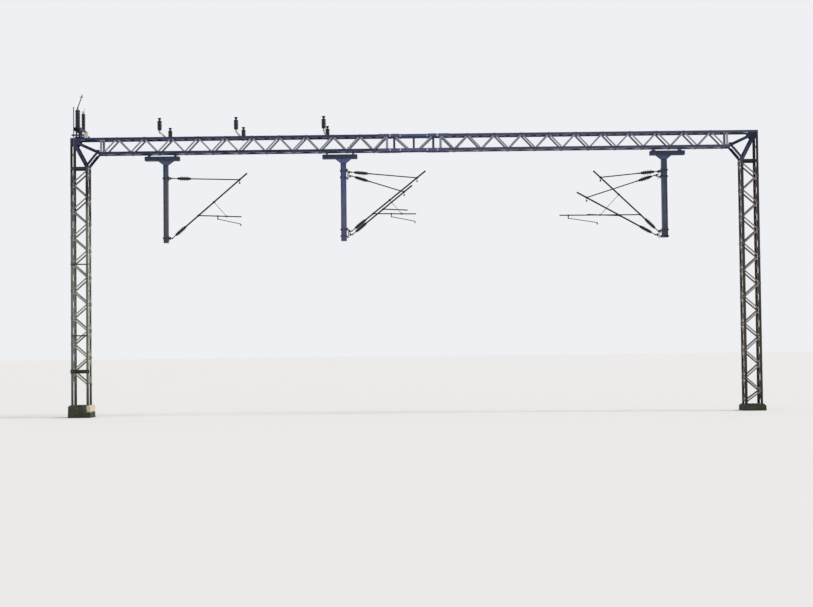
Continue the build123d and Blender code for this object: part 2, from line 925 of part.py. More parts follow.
def wire_clamp(top):
    """A hanger plate and a clamp with a bore along the track for the carrying wire."""
    x, y, z = top
    with BuildPart() as clamp:
        with Locations((x, y, z - clamp_drop / 2)):
            Box(clamp_hanger, clamp_hanger_length, clamp_drop)
        with Locations((x, y, z - clamp_drop)):
            Box(clamp_size, clamp_length, clamp_size)
        fillet(clamp.edges().filter_by(Axis.Y).group_by(Axis.Z)[0], clamp_round)
        with BuildSketch(
            Plane(origin=(x, y - clamp_length / 2, z - clamp_drop), x_dir=(1, 0, 0), z_dir=(0, 1, 0))
        ):
            Circle(clamp_bore)
        extrude(amount=clamp_length, mode=Mode.SUBTRACT)
    return clamp.part


def steady_pivot(register_point):
    return (register_point[0], register_point[1], register_point[2] - steady_drop)


def drop_bracket(register_point):
    """A block under the register tube with two cheeks and a pin along the track."""
    x, y, z = register_point
    pivot = steady_pivot(register_point)
    cheek_y = steady_eye_width / 2 + steady_cheek_gap
    cheek_length = steady_drop - register_tube_radius + steady_eye_radius
    with BuildPart() as block:
        with Locations((x, y, z)):
            Cylinder(register_tube_radius + collar_wall, steady_block, rotation=(0, 90, 0))
        for sign in (-1, 1):
            with Locations((x, y + sign * (cheek_y + steady_cheek / 2), z - register_tube_radius)):
                Box(
                    steady_cheek_width,
                    steady_cheek,
                    cheek_length,
                    align=(Align.CENTER, Align.CENTER, Align.MAX),
                )
        with Locations(pivot):
            Cylinder(steady_pin_radius, 2 * (cheek_y + steady_cheek), rotation=(90, 0, 0))
    return block.part


def steady_arm(pivot, clip_point):
    """An eye on the drop bracket's pin, a light arm and a clip for the contact wire."""
    x, y, z = pivot
    along = (Vector(*clip_point) - Vector(*pivot)).normalized()
    rod_start = Vector(*pivot) + along * steady_pin_radius
    rod = straight_bar(tuple(rod_start), clip_point, steady_rod_radius)
    with BuildPart() as arm:
        with Locations(pivot):
            Cylinder(steady_eye_radius, steady_eye_width, rotation=(90, 0, 0))
        add(rod)
        with Locations(clip_point):
            Box(
                steady_clip,
                steady_clip_length,
                steady_clip_height,
                align=(Align.CENTER, Align.CENTER, Align.MAX),
            )
        with Locations(pivot):
            Cylinder(
                steady_pin_radius + steady_running_gap,
                2 * steady_eye_width,
                rotation=(90, 0, 0),
                mode=Mode.SUBTRACT,
            )
    return arm.part


# One row for each cantilever: arm, bracket kind, side of the arm along the track, levels
# of the two pins, tip of the bracket tube, reach of the stay, register tube, dropper,
# place of the drop bracket and of the contact wire clip
cantilevers = (
    dict(
        name="cantilever_1",
        arm=0,
        pivot_y=0,
        reach=single_pivot_reach,
        levels=left_levels,
        tip=(2610, 7780),
        stay_end=2370,
        register=(1040, (2420, 6380)),
        dropper=(1540, 1940),
        drop=1660,
        clip=(2400, 6145),
    ),
    dict(
        name="cantilever_2",
        arm=1,
        pivot_y=-twin_pivot_spread,
        reach=twin_pivot_reach,
        levels=(middle_levels[0][0], middle_levels[1][0]),
        tip=(2630, 7750),
        stay_end=2360,
        register=(950, (2320, 6380)),
        dropper=(1480, 1860),
        drop=1530,
        clip=(2280, 6145),
    ),
    dict(
        name="cantilever_3",
        arm=1,
        pivot_y=twin_pivot_spread,
        reach=twin_pivot_reach,
        levels=(middle_levels[0][1], middle_levels[1][1]),
        tip=(2200, 7360),
        stay_end=1940,
        register=(1260, (2050, 6560)),
        dropper=None,
        drop=None,
        clip=None,
    ),
    dict(
        name="cantilever_4",
        arm=2,
        pivot_y=-twin_pivot_spread,
        reach=twin_pivot_reach,
        levels=(right_levels[0][0], right_levels[1][0]),
        tip=(2300, 7690),
        stay_end=2080,
        register=(820, (3400, 6280)),
        dropper=(1500, 2100),
        drop=3120,
        clip=(2200, 6035),
    ),
    dict(
        name="cantilever_5",
        arm=2,
        pivot_y=twin_pivot_spread,
        reach=twin_pivot_reach,
        levels=(right_levels[0][1], right_levels[1][1]),
        tip=(2770, 7070),
        stay_end=2460,
        register=(1390, (2450, 6350)),
        dropper=None,
        drop=None,
        clip=None,
    ),
)

for row in cantilevers:
    _, arm_x, arm_depth, side = arms[row["arm"]]
    y = row["pivot_y"]
    pivot_x = arm_x + side * (arm_depth / 2 + row["reach"])
    tip = Vector(arm_x + side * row["tip"][0], y, row["tip"][1])
    stay_level, bracket_level = row["levels"]
    lower, tube_start, tube_along = swivel_insulator(
        (pivot_x, y, bracket_level), tuple(tip), side, bracket_rod_length
    )
    stay_end = point_on(tube_start, tube_along, arm_x + side * row["stay_end"])
    upper, stay_start, stay_along = swivel_insulator(
        (pivot_x, y, stay_level), tuple(stay_end), side, stay_rod_length
    )
    with BuildPart() as insulators:
        add(lower)
        add(upper)
    save(insulators.part, row["name"] + "_insulators")

    pieces = [
        straight_bar(tuple(tube_start), tuple(tip), bracket_tube_radius),
        straight_bar(
            tuple(tip - tube_along * tip_cap_length), tuple(tip), bracket_tube_radius + tip_cap_wall
        ),
        straight_bar(tuple(stay_start), tuple(stay_end), stay_tube_radius),
        collar(tuple(stay_end), tuple(tube_along), bracket_tube_radius),
        wire_clamp(tuple(stay_end)),
    ]
    register_x, (register_end_x, register_end_z) = row["register"]
    register_start = point_on(tube_start, tube_along, arm_x + side * register_x)
    register_end = Vector(arm_x + side * register_end_x, y, register_end_z)
    register_along = (register_end - register_start).normalized()
    pieces.append(straight_bar(tuple(register_start), tuple(register_end), register_tube_radius))
    pieces.append(collar(tuple(register_start), tuple(tube_along), bracket_tube_radius))
    if row["dropper"]:
        high = point_on(tube_start, tube_along, arm_x + side * row["dropper"][0])
        low = point_on(register_start, register_along, arm_x + side * row["dropper"][1])
        pieces.append(straight_bar(tuple(high), tuple(low), dropper_radius))
        pieces.append(collar(tuple(high), tuple(tube_along), bracket_tube_radius))
        pieces.append(collar(tuple(low), tuple(register_along), register_tube_radius))
    if row["drop"]:
        hold = point_on(register_start, register_along, arm_x + side * row["drop"])
        pieces.append(drop_bracket(tuple(hold)))
        clip = (arm_x + side * row["clip"][0], y, row["clip"][1])
        save(steady_arm(steady_pivot(tuple(hold)), clip), row["name"] + "_steady_arm")
    with BuildPart() as tubes:
        for piece in pieces:
            add(piece)
    save(tubes.part, row["name"] + "_tubes")


# Line posts: an angle across the boom with a post insulator near each end
def line_arm(centre_x):
    with BuildPart() as bar:
        with BuildSketch(
            Plane(origin=(centre_x, line_arm_half_length, 0), x_dir=(1, 0, 0), z_dir=(0, -1, 0))
        ):
            with BuildLine():
                Polyline(
                    [
                        (-line_arm_leg / 2, boom_top),
                        (-line_arm_leg / 2 + line_arm_plate, boom_top),
                        (-line_arm_leg / 2 + line_arm_plate, boom_top + line_arm_leg - line_arm_plate),
                        (line_arm_leg / 2, boom_top + line_arm_leg - line_arm_plate),
                        (line_arm_leg / 2, boom_top + line_arm_leg),
                        (-line_arm_leg / 2, boom_top + line_arm_leg),
                    ],
                    close=True,
                )
            make_face()
        extrude(amount=2 * line_arm_half_length)
    return bar.part


def line_post(centre_x, y):
    sheds_start = spindle_height + post_base_height
    neck = sheds_start + post_shed_count * post_shed_pitch
    outline = [
        (0, spindle_radius),
        (spindle_height, spindle_radius),
        (spindle_height, post_base_radius),
        (sheds_start, post_base_radius),
    ]
    outline += shed_outline(
        sheds_start, post_shed_count, post_shed_pitch, post_core_radius, post_shed_radius
    )
    outline += [
        (neck, post_neck_radius),
        (neck + post_neck_height, post_neck_radius),
        (neck + post_neck_height + post_cap_taper, post_cap_radius),
        (neck + post_neck_height + post_cap_taper + post_cap_height, post_cap_radius),
    ]
    return turned((centre_x, y, boom_top + line_arm_leg), (0, 0, 1), outline)


arm_bars = [line_arm(x) for x in line_post_positions]
with BuildPart() as line_post_arms:
    for bar in arm_bars:
        add(bar)
save(line_post_arms.part, "line_post_arms")
posts = [line_post(x, sign * line_post_offset) for x in line_post_positions for sign in (-1, 1)]
with BuildPart() as line_posts:
    for post in posts:
        add(post)
save(line_posts.part, "line_posts")

# Isolating switch: a stool on the chords, a channel, two insulators, hinge, jaw, blade
stool_top = boom_top + stool_leg_height
channel_top_z = stool_top + stool_channel_depth
stool_inner = stool_leg - stool_leg_plate
stool_channel_width = 2 * stool_channel_flange + stool_leg_spread - stool_leg
with BuildPart() as stool_frame:
    with BuildSketch(Plane.XY.offset(boom_top)):
        for sign in (-1, 1):
            for x in (-stool_leg_spread / 2, stool_leg_spread / 2):
                with Locations((x, sign * chord_line)):
                    Rectangle(stool_leg, stool_leg)
                inner_y = sign * (chord_line - stool_leg_plate / 2)
                with Locations((x + stool_leg_plate / 2, inner_y)):
                    Rectangle(stool_inner, stool_inner, mode=Mode.SUBTRACT)
    extrude(amount=stool_leg_height)
    for sign in (-1, 1):
        with Locations((0, sign * (chord_line + stool_leg / 2), boom_top + stool_rail_height)):
            Box(
                2 * stool_rail_half_length,
                stool_leg_plate,
                stool_rail_depth,
                align=(Align.CENTER, Align.MIN if sign > 0 else Align.MAX, Align.CENTER),
            )
    with BuildSketch(
        Plane(origin=(0, stool_channel_half_length, 0), x_dir=(1, 0, 0), z_dir=(0, -1, 0))
    ):
        with Locations((0, stool_top + stool_channel_depth / 2)):
            Rectangle(stool_channel_width, stool_channel_depth)
        with Locations((0, stool_top + stool_channel_depth / 2 - channel_plate)):
            Rectangle(
                stool_channel_width - 2 * channel_plate,
                stool_channel_depth,
                mode=Mode.SUBTRACT,
            )
    extrude(amount=2 * stool_channel_half_length)
save(stool_frame.part, "isolator_stool")

unit_sheds = isolator_sheds_in_unit * isolator_shed_pitch
unit_height = unit_sheds + 2 * isolator_flange_height


def isolator_post(y):
    """Two insulator units, one on the other, with metal flanges."""
    outline = []
    for unit in range(2):
        start = unit * unit_height
        outline += [
            (start, isolator_flange_radius),
            (start + isolator_flange_height, isolator_flange_radius),
        ]
        outline += shed_outline(
            start + isolator_flange_height,
            isolator_sheds_in_unit,
            isolator_shed_pitch,
            isolator_core_radius,
            isolator_shed_radius,
        )
        outline += [
            (start + unit_height - isolator_flange_height, isolator_flange_radius),
            (start + unit_height, isolator_flange_radius),
        ]
        if unit == 0:
            outline += [(start + unit_height, isolator_core_radius)]
    return turned((0, y, channel_top_z), (0, 0, 1), outline)


switch_posts = [isolator_post(-isolator_half_span), isolator_post(isolator_half_span)]
with BuildPart() as isolator_insulators:
    for post in switch_posts:
        add(post)
save(isolator_insulators.part, "isolator_insulators")

post_top = channel_top_z + 2 * unit_height
blade_z = post_top + blade_pivot_height
cheek_x = blade_eye_width / 2 + blade_cheek_gap
finger_x = blade_plate / 2 + jaw_clearance
with BuildPart() as isolator_contacts:
    for y in (-isolator_half_span, isolator_half_span):
        with Locations((0, y, post_top)):
            Cylinder(
                isolator_flange_radius,
                isolator_flange_height / 2,
                align=(Align.CENTER, Align.CENTER, Align.MIN),
            )
    for sign in (-1, 1):
        with Locations((sign * (cheek_x + blade_cheek / 2), -isolator_half_span, post_top)):
            Box(
                blade_cheek,
                2 * blade_pin_radius + 2 * blade_cheek,
                blade_pivot_height + blade_pin_radius + blade_cheek,
                align=(Align.CENTER, Align.CENTER, Align.MIN),
            )
        with Locations((sign * (finger_x + jaw_plate / 2), isolator_half_span, post_top)):
            Box(
                jaw_plate,
                jaw_length,
                blade_pivot_height + jaw_height / 2,
                align=(Align.CENTER, Align.CENTER, Align.MIN),
            )
    with Locations((0, -isolator_half_span, blade_z)):
        Cylinder(blade_pin_radius, 2 * (cheek_x + blade_cheek), rotation=(0, 90, 0))
    horn_y = isolator_half_span + jaw_length / 2 - horn_radius
    with Locations((finger_x + jaw_plate / 2, horn_y, blade_z)):
        Cylinder(horn_radius, horn_length, align=(Align.CENTER, Align.CENTER, Align.MIN))
save(isolator_contacts.part, "isolator_contacts")

blade_length = 2 * isolator_half_span + blade_tip_overhang
open_angle = math.radians(blade_open_angle)
blade_side = Plane(
    origin=(0, -isolator_half_span, blade_z),
    x_dir=(0, math.cos(open_angle), math.sin(open_angle)),
    z_dir=(1, 0, 0),
)
with BuildPart() as isolator_blade:
    with BuildSketch(blade_side):
        Circle(blade_eye_radius)
    extrude(amount=blade_eye_width / 2, both=True)
    with BuildSketch(blade_side):
        with Locations((blade_length / 2, 0)):
            Rectangle(blade_length, blade_height)
    extrude(amount=blade_plate / 2, both=True)
    with BuildSketch(blade_side):
        with Locations((blade_length - blade_bar_inset, 0)):
            Rectangle(blade_bar_size, blade_bar_size)
    extrude(amount=blade_bar_length / 2, both=True)
    with BuildSketch(blade_side):
        Circle(blade_pin_radius + blade_running_gap)
    extrude(amount=blade_eye_width, both=True, mode=Mode.SUBTRACT)
save(isolator_blade.part, "isolator_blade")

# Operating rod down the left upright, its guides and the channel at its foot
rod_y = -half_depth - rod_stand_off
gear_top = gear_channel_centre + gear_channel_depth / 2
save(straight_bar((rod_x, rod_y, gear_top), (rod_x, rod_y, rod_top), rod_radius), "isolator_rod")
with BuildPart() as isolator_rod_guides:
    for height in rod_guide_heights:
        with Locations((0, -half_depth, height)):
            Box(
                tower_width,
                rod_guide_plate,
                rod_guide_bar,
                align=(Align.CENTER, Align.MAX, Align.CENTER),
            )
        with Locations((rod_x, -half_depth, height)):
            Box(
                rod_lug_width,
                rod_stand_off + rod_radius + rod_lug_wall,
                rod_guide_bar,
                align=(Align.CENTER, Align.MAX, Align.CENTER),
            )
    with BuildSketch(Plane.YZ.offset(-gear_channel_length / 2)):
        with BuildLine():
            Polyline(
                [
                    (-half_depth, gear_channel_centre - gear_channel_depth / 2),
                    (-half_depth, gear_top),
                    (-half_depth - gear_channel_flange, gear_top),
                    (-half_depth - gear_channel_flange, gear_top - channel_plate),
                    (-half_depth - channel_plate, gear_top - channel_plate),
                    (-half_depth - channel_plate, gear_top - gear_channel_depth + channel_plate),
                    (-half_depth - gear_channel_flange, gear_top - gear_channel_depth + channel_plate),
                    (-half_depth - gear_channel_flange, gear_top - gear_channel_depth),
                ],
                close=True,
            )
        make_face()
    extrude(amount=gear_channel_length)
    with BuildSketch(Plane.XY.offset(gear_top)):
        with Locations((rod_x, rod_y)):
            Circle(rod_radius + rod_guide_gap)
    extrude(amount=rod_top - gear_top, mode=Mode.SUBTRACT)
save(isolator_rod_guides.part, "isolator_rod_guides")
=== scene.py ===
"""Looks of a railway overhead line portal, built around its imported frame. Metres."""

import json
import math

import bmesh
import bpy
from mathutils import Matrix, Vector, noise


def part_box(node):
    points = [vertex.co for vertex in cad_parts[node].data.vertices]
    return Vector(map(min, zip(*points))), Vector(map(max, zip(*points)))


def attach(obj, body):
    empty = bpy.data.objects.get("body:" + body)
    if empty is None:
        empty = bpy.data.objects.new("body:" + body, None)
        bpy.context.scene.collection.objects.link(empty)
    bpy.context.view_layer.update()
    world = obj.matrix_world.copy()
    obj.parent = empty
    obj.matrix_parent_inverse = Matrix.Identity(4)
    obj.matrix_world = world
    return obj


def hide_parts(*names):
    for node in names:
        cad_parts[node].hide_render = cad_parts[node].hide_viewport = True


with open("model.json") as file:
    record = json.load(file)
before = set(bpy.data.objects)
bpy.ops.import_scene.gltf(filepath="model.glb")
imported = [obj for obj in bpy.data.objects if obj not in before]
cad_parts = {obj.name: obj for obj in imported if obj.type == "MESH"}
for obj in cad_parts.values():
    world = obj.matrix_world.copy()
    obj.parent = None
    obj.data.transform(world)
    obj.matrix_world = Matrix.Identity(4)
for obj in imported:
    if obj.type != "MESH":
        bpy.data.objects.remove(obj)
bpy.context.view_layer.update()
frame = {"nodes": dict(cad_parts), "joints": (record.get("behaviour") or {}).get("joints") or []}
nodes = frame["nodes"]

# Camera, as the photograph saw the portal
PHOTO_WIDTH = 813
FOCAL_PIXELS = 1520.4
SENSOR_WIDTH = 36.0
CLIP_END = 5000.0
CAMERA_PLACE = Vector((10.684, -48.676, 1.88))
CAMERA_YAW = math.radians(-0.300)
CAMERA_PITCH = math.radians(1.944)
CAMERA_ROLL = -0.0112

# Places read from the frame
left_legs_low, left_legs_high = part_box("left_upright_legs")
right_legs_low, right_legs_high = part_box("right_upright_legs")
chords_low, chords_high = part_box("boom_left_chords")
HALF_DEPTH = chords_high.y
BOOM_TOP = chords_high.z
BOOM_BOTTOM = chords_low.z
OUTER_FACE = chords_low.x
PORTAL_CENTRE = (left_legs_low.x + right_legs_high.x) / 2
LEG_HALF = (left_legs_high.x - left_legs_low.x) / 2
LEFT_UPRIGHT = (left_legs_low.x + left_legs_high.x) / 2
RIGHT_UPRIGHT = (right_legs_low.x + right_legs_high.x) / 2

# Sizes of the steelwork
CHORD_LEG = 0.075
CHORD_LINE = HALF_DEPTH - CHORD_LEG / 2
LEG_LINE = LEG_HALF - CHORD_LEG / 2
LOW_LINE = BOOM_BOTTOM + CHORD_LEG / 2
HIGH_LINE = BOOM_TOP - CHORD_LEG / 2
FIRST_NODE = OUTER_FACE + 1.067
CENTRE_POSTS = (0.0, 0.627, 0.861)
LAST_NODE = PORTAL_CENTRE - CENTRE_POSTS[2]
BOOM_PANELS = 21
BOOM_PITCH = (LAST_NODE - FIRST_NODE) / BOOM_PANELS
END_POST = OUTER_FACE + 0.985
TOWER_TOP_NODE = 7.900
TOWER_PITCH = 0.428
TOWER_BARS = {"left": 16, "right": 17}

# Round pieces
FINE_SIDES = 32
ROD_SIDES = 16
HEXAGON = 6
RING_EDGE = 0.0015


# Meshes

def new_piece(name, mesh, materials, body, sharp_angle=40):
    """Makes an object from a bmesh, smooth up to an angle, riding on a body."""
    data = bpy.data.meshes.new(name)
    bmesh.ops.recalc_face_normals(mesh, faces=mesh.faces)
    mesh.to_mesh(data)
    mesh.free()
    piece = bpy.data.objects.new(name, data)
    bpy.context.scene.collection.objects.link(piece)
    for material in materials:
        data.materials.append(material)
    data.shade_smooth()
    data.set_sharp_from_angle(angle=math.radians(sharp_angle))
    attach(piece, body)
    return piece


def axes_about(along):
    """A unit axis and two directions across it, at right angles."""
    axis = Vector(along).normalized()
    side = axis.cross(Vector((0, 1, 0)))
    if side.length < 0.5:
        side = axis.cross(Vector((1, 0, 0)))
    side.normalize()
    return axis, side, axis.cross(side)


def circle(mesh, centre, across, radius, sides):
    """A circle of vertices. across holds the two directions it lies in."""
    side, other = across
    points = []
    for step in range(sides):
        angle = 2 * math.pi * step / sides
        out = side * math.cos(angle) + other * math.sin(angle)
        points.append(mesh.verts.new(centre + out * radius))
    return points


def skin(mesh, near, far):
    """Faces between two circles of as many vertices."""
    for step in range(len(near)):
        after = (step + 1) % len(near)
        mesh.faces.new((near[step], near[after], far[after], far[step]))


def lathe(mesh, start, along, outline, sides=FINE_SIDES):
    """Turns an outline of (distance along the axis, radius) and closes both ends."""
    axis, *across = axes_about(along)
    radius_layer = mesh.verts.layers.float.get("radius")
    circles = []
    for reach, radius in outline:
        points = circle(mesh, Vector(start) + axis * reach, across, radius, sides)
        if radius_layer:
            for point in points:
                point[radius_layer] = radius
        circles.append(points)
    mesh.faces.new(list(reversed(circles[0])))
    mesh.faces.new(circles[-1])
    for near, far in zip(circles, circles[1:]):
        skin(mesh, near, far)


def rod(mesh, start, end, radius, sides=ROD_SIDES):
    start = Vector(start)
    along = Vector(end) - start
    lathe(mesh, start, along, [(0, radius), (along.length, radius)], sides)


def ring(mesh, centre, along, outer, inner, length):
    """A ring with a bore, centred on a point."""
    axis, *across = axes_about(along)
    half = length / 2
    profile = [
        (-half, outer - RING_EDGE),
        (-half + RING_EDGE, outer),
        (half - RING_EDGE, outer),
        (half, outer - RING_EDGE),
        (half, inner),
        (-half, inner),
    ]
    circles = [
        circle(mesh, Vector(centre) + axis * reach, across, radius, FINE_SIDES)
        for reach, radius in profile
    ]
    for index, near in enumerate(circles):
        skin(mesh, near, circles[(index + 1) % len(circles)])


def block(mesh, centre, size, bevel=0.0):
    """A box. A bevel eases its edges."""
    made = bmesh.ops.create_cube(mesh, size=1.0)
    for vert in made["verts"]:
        vert.co = Vector(centre) + Vector(a * b for a, b in zip(vert.co, size))
    if bevel:
        edges = {edge for vert in made["verts"] for edge in vert.link_edges}
        bmesh.ops.bevel(mesh, geom=list(edges), offset=bevel, segments=2, affect="EDGES")


# Colours and shader nodes

def srgb(red, green, blue):
    """A colour written as it looks, 0 to 255, turned to the linear values nodes use."""
    return tuple(
        value / 255 / 12.92 if value / 255 <= 0.04045 else ((value / 255 + 0.055) / 1.055) ** 2.4
        for value in (red, green, blue)
    )


def node_group(name, inputs, outputs):
    """An empty shader group with named sockets."""
    group = bpy.data.node_groups.new(name, "ShaderNodeTree")
    for label, kind, value in inputs:
        socket = group.interface.new_socket(label, in_out="INPUT", socket_type=kind)
        if value is not None:
            socket.default_value = value
    for label, kind in outputs:
        group.interface.new_socket(label, in_out="OUTPUT", socket_type=kind)
    start = group.nodes.new("NodeGroupInput")
    end = group.nodes.new("NodeGroupOutput")
    return group, start, end


def link(tree, source, target):
    tree.links.new(source, target)


def feed(tree, value, target):
    """Gives a node's input another node's output, a colour or a number."""
    if isinstance(value, bpy.types.NodeSocket):
        link(tree, value, target)
    elif isinstance(value, tuple):
        target.default_value = (*value, 1.0)
    else:
        target.default_value = value


def noise_node(tree, place, scale, detail=3.0, roughness=0.5):
    texture = tree.nodes.new("ShaderNodeTexNoise")
    texture.inputs["Scale"].default_value = scale
    texture.inputs["Detail"].default_value = detail
    texture.inputs["Roughness"].default_value = roughness
    link(tree, place, texture.inputs["Vector"])
    return texture.outputs["Fac"]


def stretched(tree, place, scale):
    mapping = tree.nodes.new("ShaderNodeMapping")
    mapping.inputs["Scale"].default_value = scale
    link(tree, place, mapping.inputs["Vector"])
    return mapping.outputs["Vector"]


def ranged(tree, value, low, high, to_low=0.0, to_high=1.0):
    """Maps low..high to the new range, clamped and eased. Numbers or sockets."""
    node = tree.nodes.new("ShaderNodeMapRange")
    node.interpolation_type = "SMOOTHSTEP"
    link(tree, value, node.inputs["Value"])
    bounds = {"From Min": low, "From Max": high, "To Min": to_low, "To Max": to_high}
    for label, bound in bounds.items():
        feed(tree, bound, node.inputs[label])
    return node.outputs["Result"]


def combined(tree, operation, first, second=0.0):
    """A math operation on one or two values. Numbers or sockets."""
    node = tree.nodes.new("ShaderNodeMath")
    node.operation = operation
    feed(tree, first, node.inputs[0])
    feed(tree, second, node.inputs[1])
    return node.outputs["Value"]


def product(tree, first, *others):
    for other in others:
        first = combined(tree, "MULTIPLY", first, other)
    return first


def away_from(tree, value, place):
    """How far a value is from a place, on either side of it."""
    return combined(tree, "ABSOLUTE", combined(tree, "SUBTRACT", value, place))


def mixed(tree, factor, first, second, blend="MIX"):
    """Mixes two colours. Each is a socket or a colour."""
    node = tree.nodes.new("ShaderNodeMix")
    node.data_type = "RGBA"
    node.blend_type = blend
    sockets = {s.identifier: s for s in node.inputs}
    feed(tree, factor, sockets["Factor_Float"])
    feed(tree, first, sockets["A_Color"])
    feed(tree, second, sockets["B_Color"])
    return next(s for s in node.outputs if s.identifier == "Result_Color")


def parts_of(tree, vector):
    """The X, Y and Z of a vector."""
    split = tree.nodes.new("ShaderNodeSeparateXYZ")
    link(tree, vector, split.inputs["Vector"])
    return split.outputs


def facing(tree):
    """The X, Y and Z of the way that the surface faces."""
    surface = tree.nodes.new("ShaderNodeNewGeometry")
    return parts_of(tree, surface.outputs["Normal"])


# Weathered steel: one group that every steel finish places with its own values
SPANGLE_SCALE = 55.0
STREAK_STRETCH = (38, 38, 1.6)
SOOT_AND_PAINTED_SHADE_WANDER = 1.4
FOOT_STAIN_HEIGHTS = (1.9, 0.3)


def steel_tone(group, place, patches):
    """Light and dark of the zinc: spangle, dull patches and rain streaks."""
    cells = group.nodes.new("ShaderNodeTexVoronoi")
    cells.inputs["Scale"].default_value = SPANGLE_SCALE
    link(group, place, cells.inputs["Vector"])
    spangle = group.nodes.new("ShaderNodeSeparateColor")
    link(group, cells.outputs["Color"], spangle.inputs["Color"])
    spangle_tone = ranged(group, spangle.outputs["Red"], 0.0, 1.0, 0.86, 1.12)
    patch_tone = ranged(group, patches, 0.3, 0.7, 0.80, 1.18)
    streaks = noise_node(group, stretched(group, place, STREAK_STRETCH), 1.0, 3.0, 0.6)
    streak_tone = ranged(group, streaks, 0.35, 0.7, 1.08, 0.72)
    tone = product(group, spangle_tone, patch_tone, streak_tone)
    grey = group.nodes.new("ShaderNodeCombineColor")
    for channel in ("Red", "Green", "Blue"):
        link(group, tone, grey.inputs[channel])
    return grey.outputs["Color"]


def steel_rust(group, place, patches, amount, foot_stain):
    """Where the steel is rusty: spots all over, and a stain at the foot."""
    spots = ranged(group, noise_node(group, place, 9.0, 6.0, 0.65), 0.60, 0.72)
    foot = ranged(group, parts_of(group, place)["Z"], *FOOT_STAIN_HEIGHTS)
    foot_patches = ranged(group, patches, 0.2, 0.6, 0.4, 1.0)
    stain = product(group, foot, foot_patches, foot_stain)
    return combined(group, "MAXIMUM", product(group, spots, amount), stain)


def make_weathered_steel():
    """Zinc coat with a top colour above (soot, and painted backlit shade on the uprights), painted
    sunlight on faces that look towards the sun, rusty in spots and at the foot.
    """
    group, start, end = node_group(
        "weathered_steel",
        [
            ("Place", "NodeSocketVector", None),
            ("Zinc", "NodeSocketColor", (0.2, 0.2, 0.2, 1)),
            ("Soot And Painted Shade", "NodeSocketColor", (0.05, 0.05, 0.06, 1)),
            ("Rust", "NodeSocketColor", (0.10, 0.05, 0.03, 1)),
            ("Soot And Painted Shade From", "NodeSocketFloat", 5.0),
            ("Soot And Painted Shade To", "NodeSocketFloat", 8.0),
            ("Rust Amount", "NodeSocketFloat", 0.3),
            ("Foot Stain", "NodeSocketFloat", 0.0),
            ("Painted Sunlight", "NodeSocketColor", (0.6, 0.55, 0.45, 1)),
            ("Painted Sunlight Amount", "NodeSocketFloat", 0.0),
        ],
        [
            ("Color", "NodeSocketColor"),
            ("Roughness", "NodeSocketFloat"),
            ("Height", "NodeSocketFloat"),
        ],
    )
    given = start.outputs
    place = given["Place"]
    patches = noise_node(group, place, 1.7, 4.0)
    # Higher up the coat turns to its top colour: soot, and on the uprights painted backlit shade
    # that darkens them towards the top.
    wander = product(group, ranged(group, patches, 0.2, 0.8, -1.0, 1.0), SOOT_AND_PAINTED_SHADE_WANDER)
    level = combined(group, "ADD", parts_of(group, place)["Z"], wander)
    soot_and_painted_shade = ranged(group, level, given["Soot And Painted Shade From"], given["Soot And Painted Shade To"])
    # Painted sunlight: faces that look towards +X, the side the sun comes from, are mixed towards a
    # pale cream.
    painted_sunlit_share = product(group, ranged(group, facing(group)["X"], 0.4, 0.8), given["Painted Sunlight Amount"])
    coat = mixed(group, painted_sunlit_share, given["Zinc"], given["Painted Sunlight"])
    coat = mixed(group, soot_and_painted_shade, coat, given["Soot And Painted Shade"])
    coat = mixed(group, 1.0, coat, steel_tone(group, place, patches), "MULTIPLY")
    rusty = steel_rust(group, place, patches, given["Rust Amount"], given["Foot Stain"])
    link(group, mixed(group, rusty, coat, given["Rust"]), end.inputs["Color"])

    smooth = ranged(group, patches, 0.3, 0.7, 0.48, 0.62)
    rough = combined(group, "ADD", smooth, product(group, rusty, 0.25))
    link(group, rough, end.inputs["Roughness"])
    grain = product(group, noise_node(group, place, 160.0, 3.0), 0.6)
    lumps = combined(group, "ADD", grain, product(group, rusty, 0.6))
    link(group, lumps, end.inputs["Height"])
    return group


def make_dust():
    """Dust that lies on faces that look up, broken by noise."""
    group, start, end = node_group(
        "settled_dust",
        [
            ("Place", "NodeSocketVector", None),
            ("Clean", "NodeSocketColor", (0.1, 0.1, 0.1, 1)),
            ("Dust", "NodeSocketColor", (0.25, 0.22, 0.18, 1)),
            ("Amount", "NodeSocketFloat", 0.4),
        ],
        [("Color", "NodeSocketColor"), ("Mask", "NodeSocketFloat")],
    )
    given = start.outputs
    upward = ranged(group, facing(group)["Z"], 0.15, 0.9)
    broken = ranged(group, noise_node(group, given["Place"], 22.0, 4.0), 0.35, 0.65)
    mask = product(group, upward, broken, given["Amount"])
    link(group, mixed(group, mask, given["Clean"], given["Dust"]), end.inputs["Color"])
    link(group, mask, end.inputs["Mask"])
    return group


weathered_steel = make_weathered_steel()
settled_dust = make_dust()


# Materials

def start_material(name):
    material = bpy.data.materials.new(name)
    material.use_nodes = True
    tree = material.node_tree
    shader = tree.nodes["Principled BSDF"]
    place = tree.nodes.new("ShaderNodeTexCoord").outputs["Object"]
    return material, tree, shader, place


def placed_group(tree, group, place, values):
    node = tree.nodes.new("ShaderNodeGroup")
    node.node_tree = group
    link(tree, place, node.inputs["Place"])
    for label, value in values.items():
        feed(tree, value, node.inputs[label])
    return node


def add_bump(tree, shader, height, distance, strength):
    bump = tree.nodes.new("ShaderNodeBump")
    bump.inputs["Strength"].default_value = strength
    bump.inputs["Distance"].default_value = distance
    link(tree, height, bump.inputs["Height"])
    link(tree, bump.outputs["Normal"], shader.inputs["Normal"])


# Colours of rust and of painted sunlight, and the heights between which the top colour takes over
# from zinc: soot, and on the uprights painted backlit shade
RUST = srgb(84, 62, 50)
PAINTED_SUNLIGHT = srgb(226, 214, 190)
LEFT_BOOM_SOOT = (7.6, 9.2)
BOOM_SOOT = (7.6, 9.6)
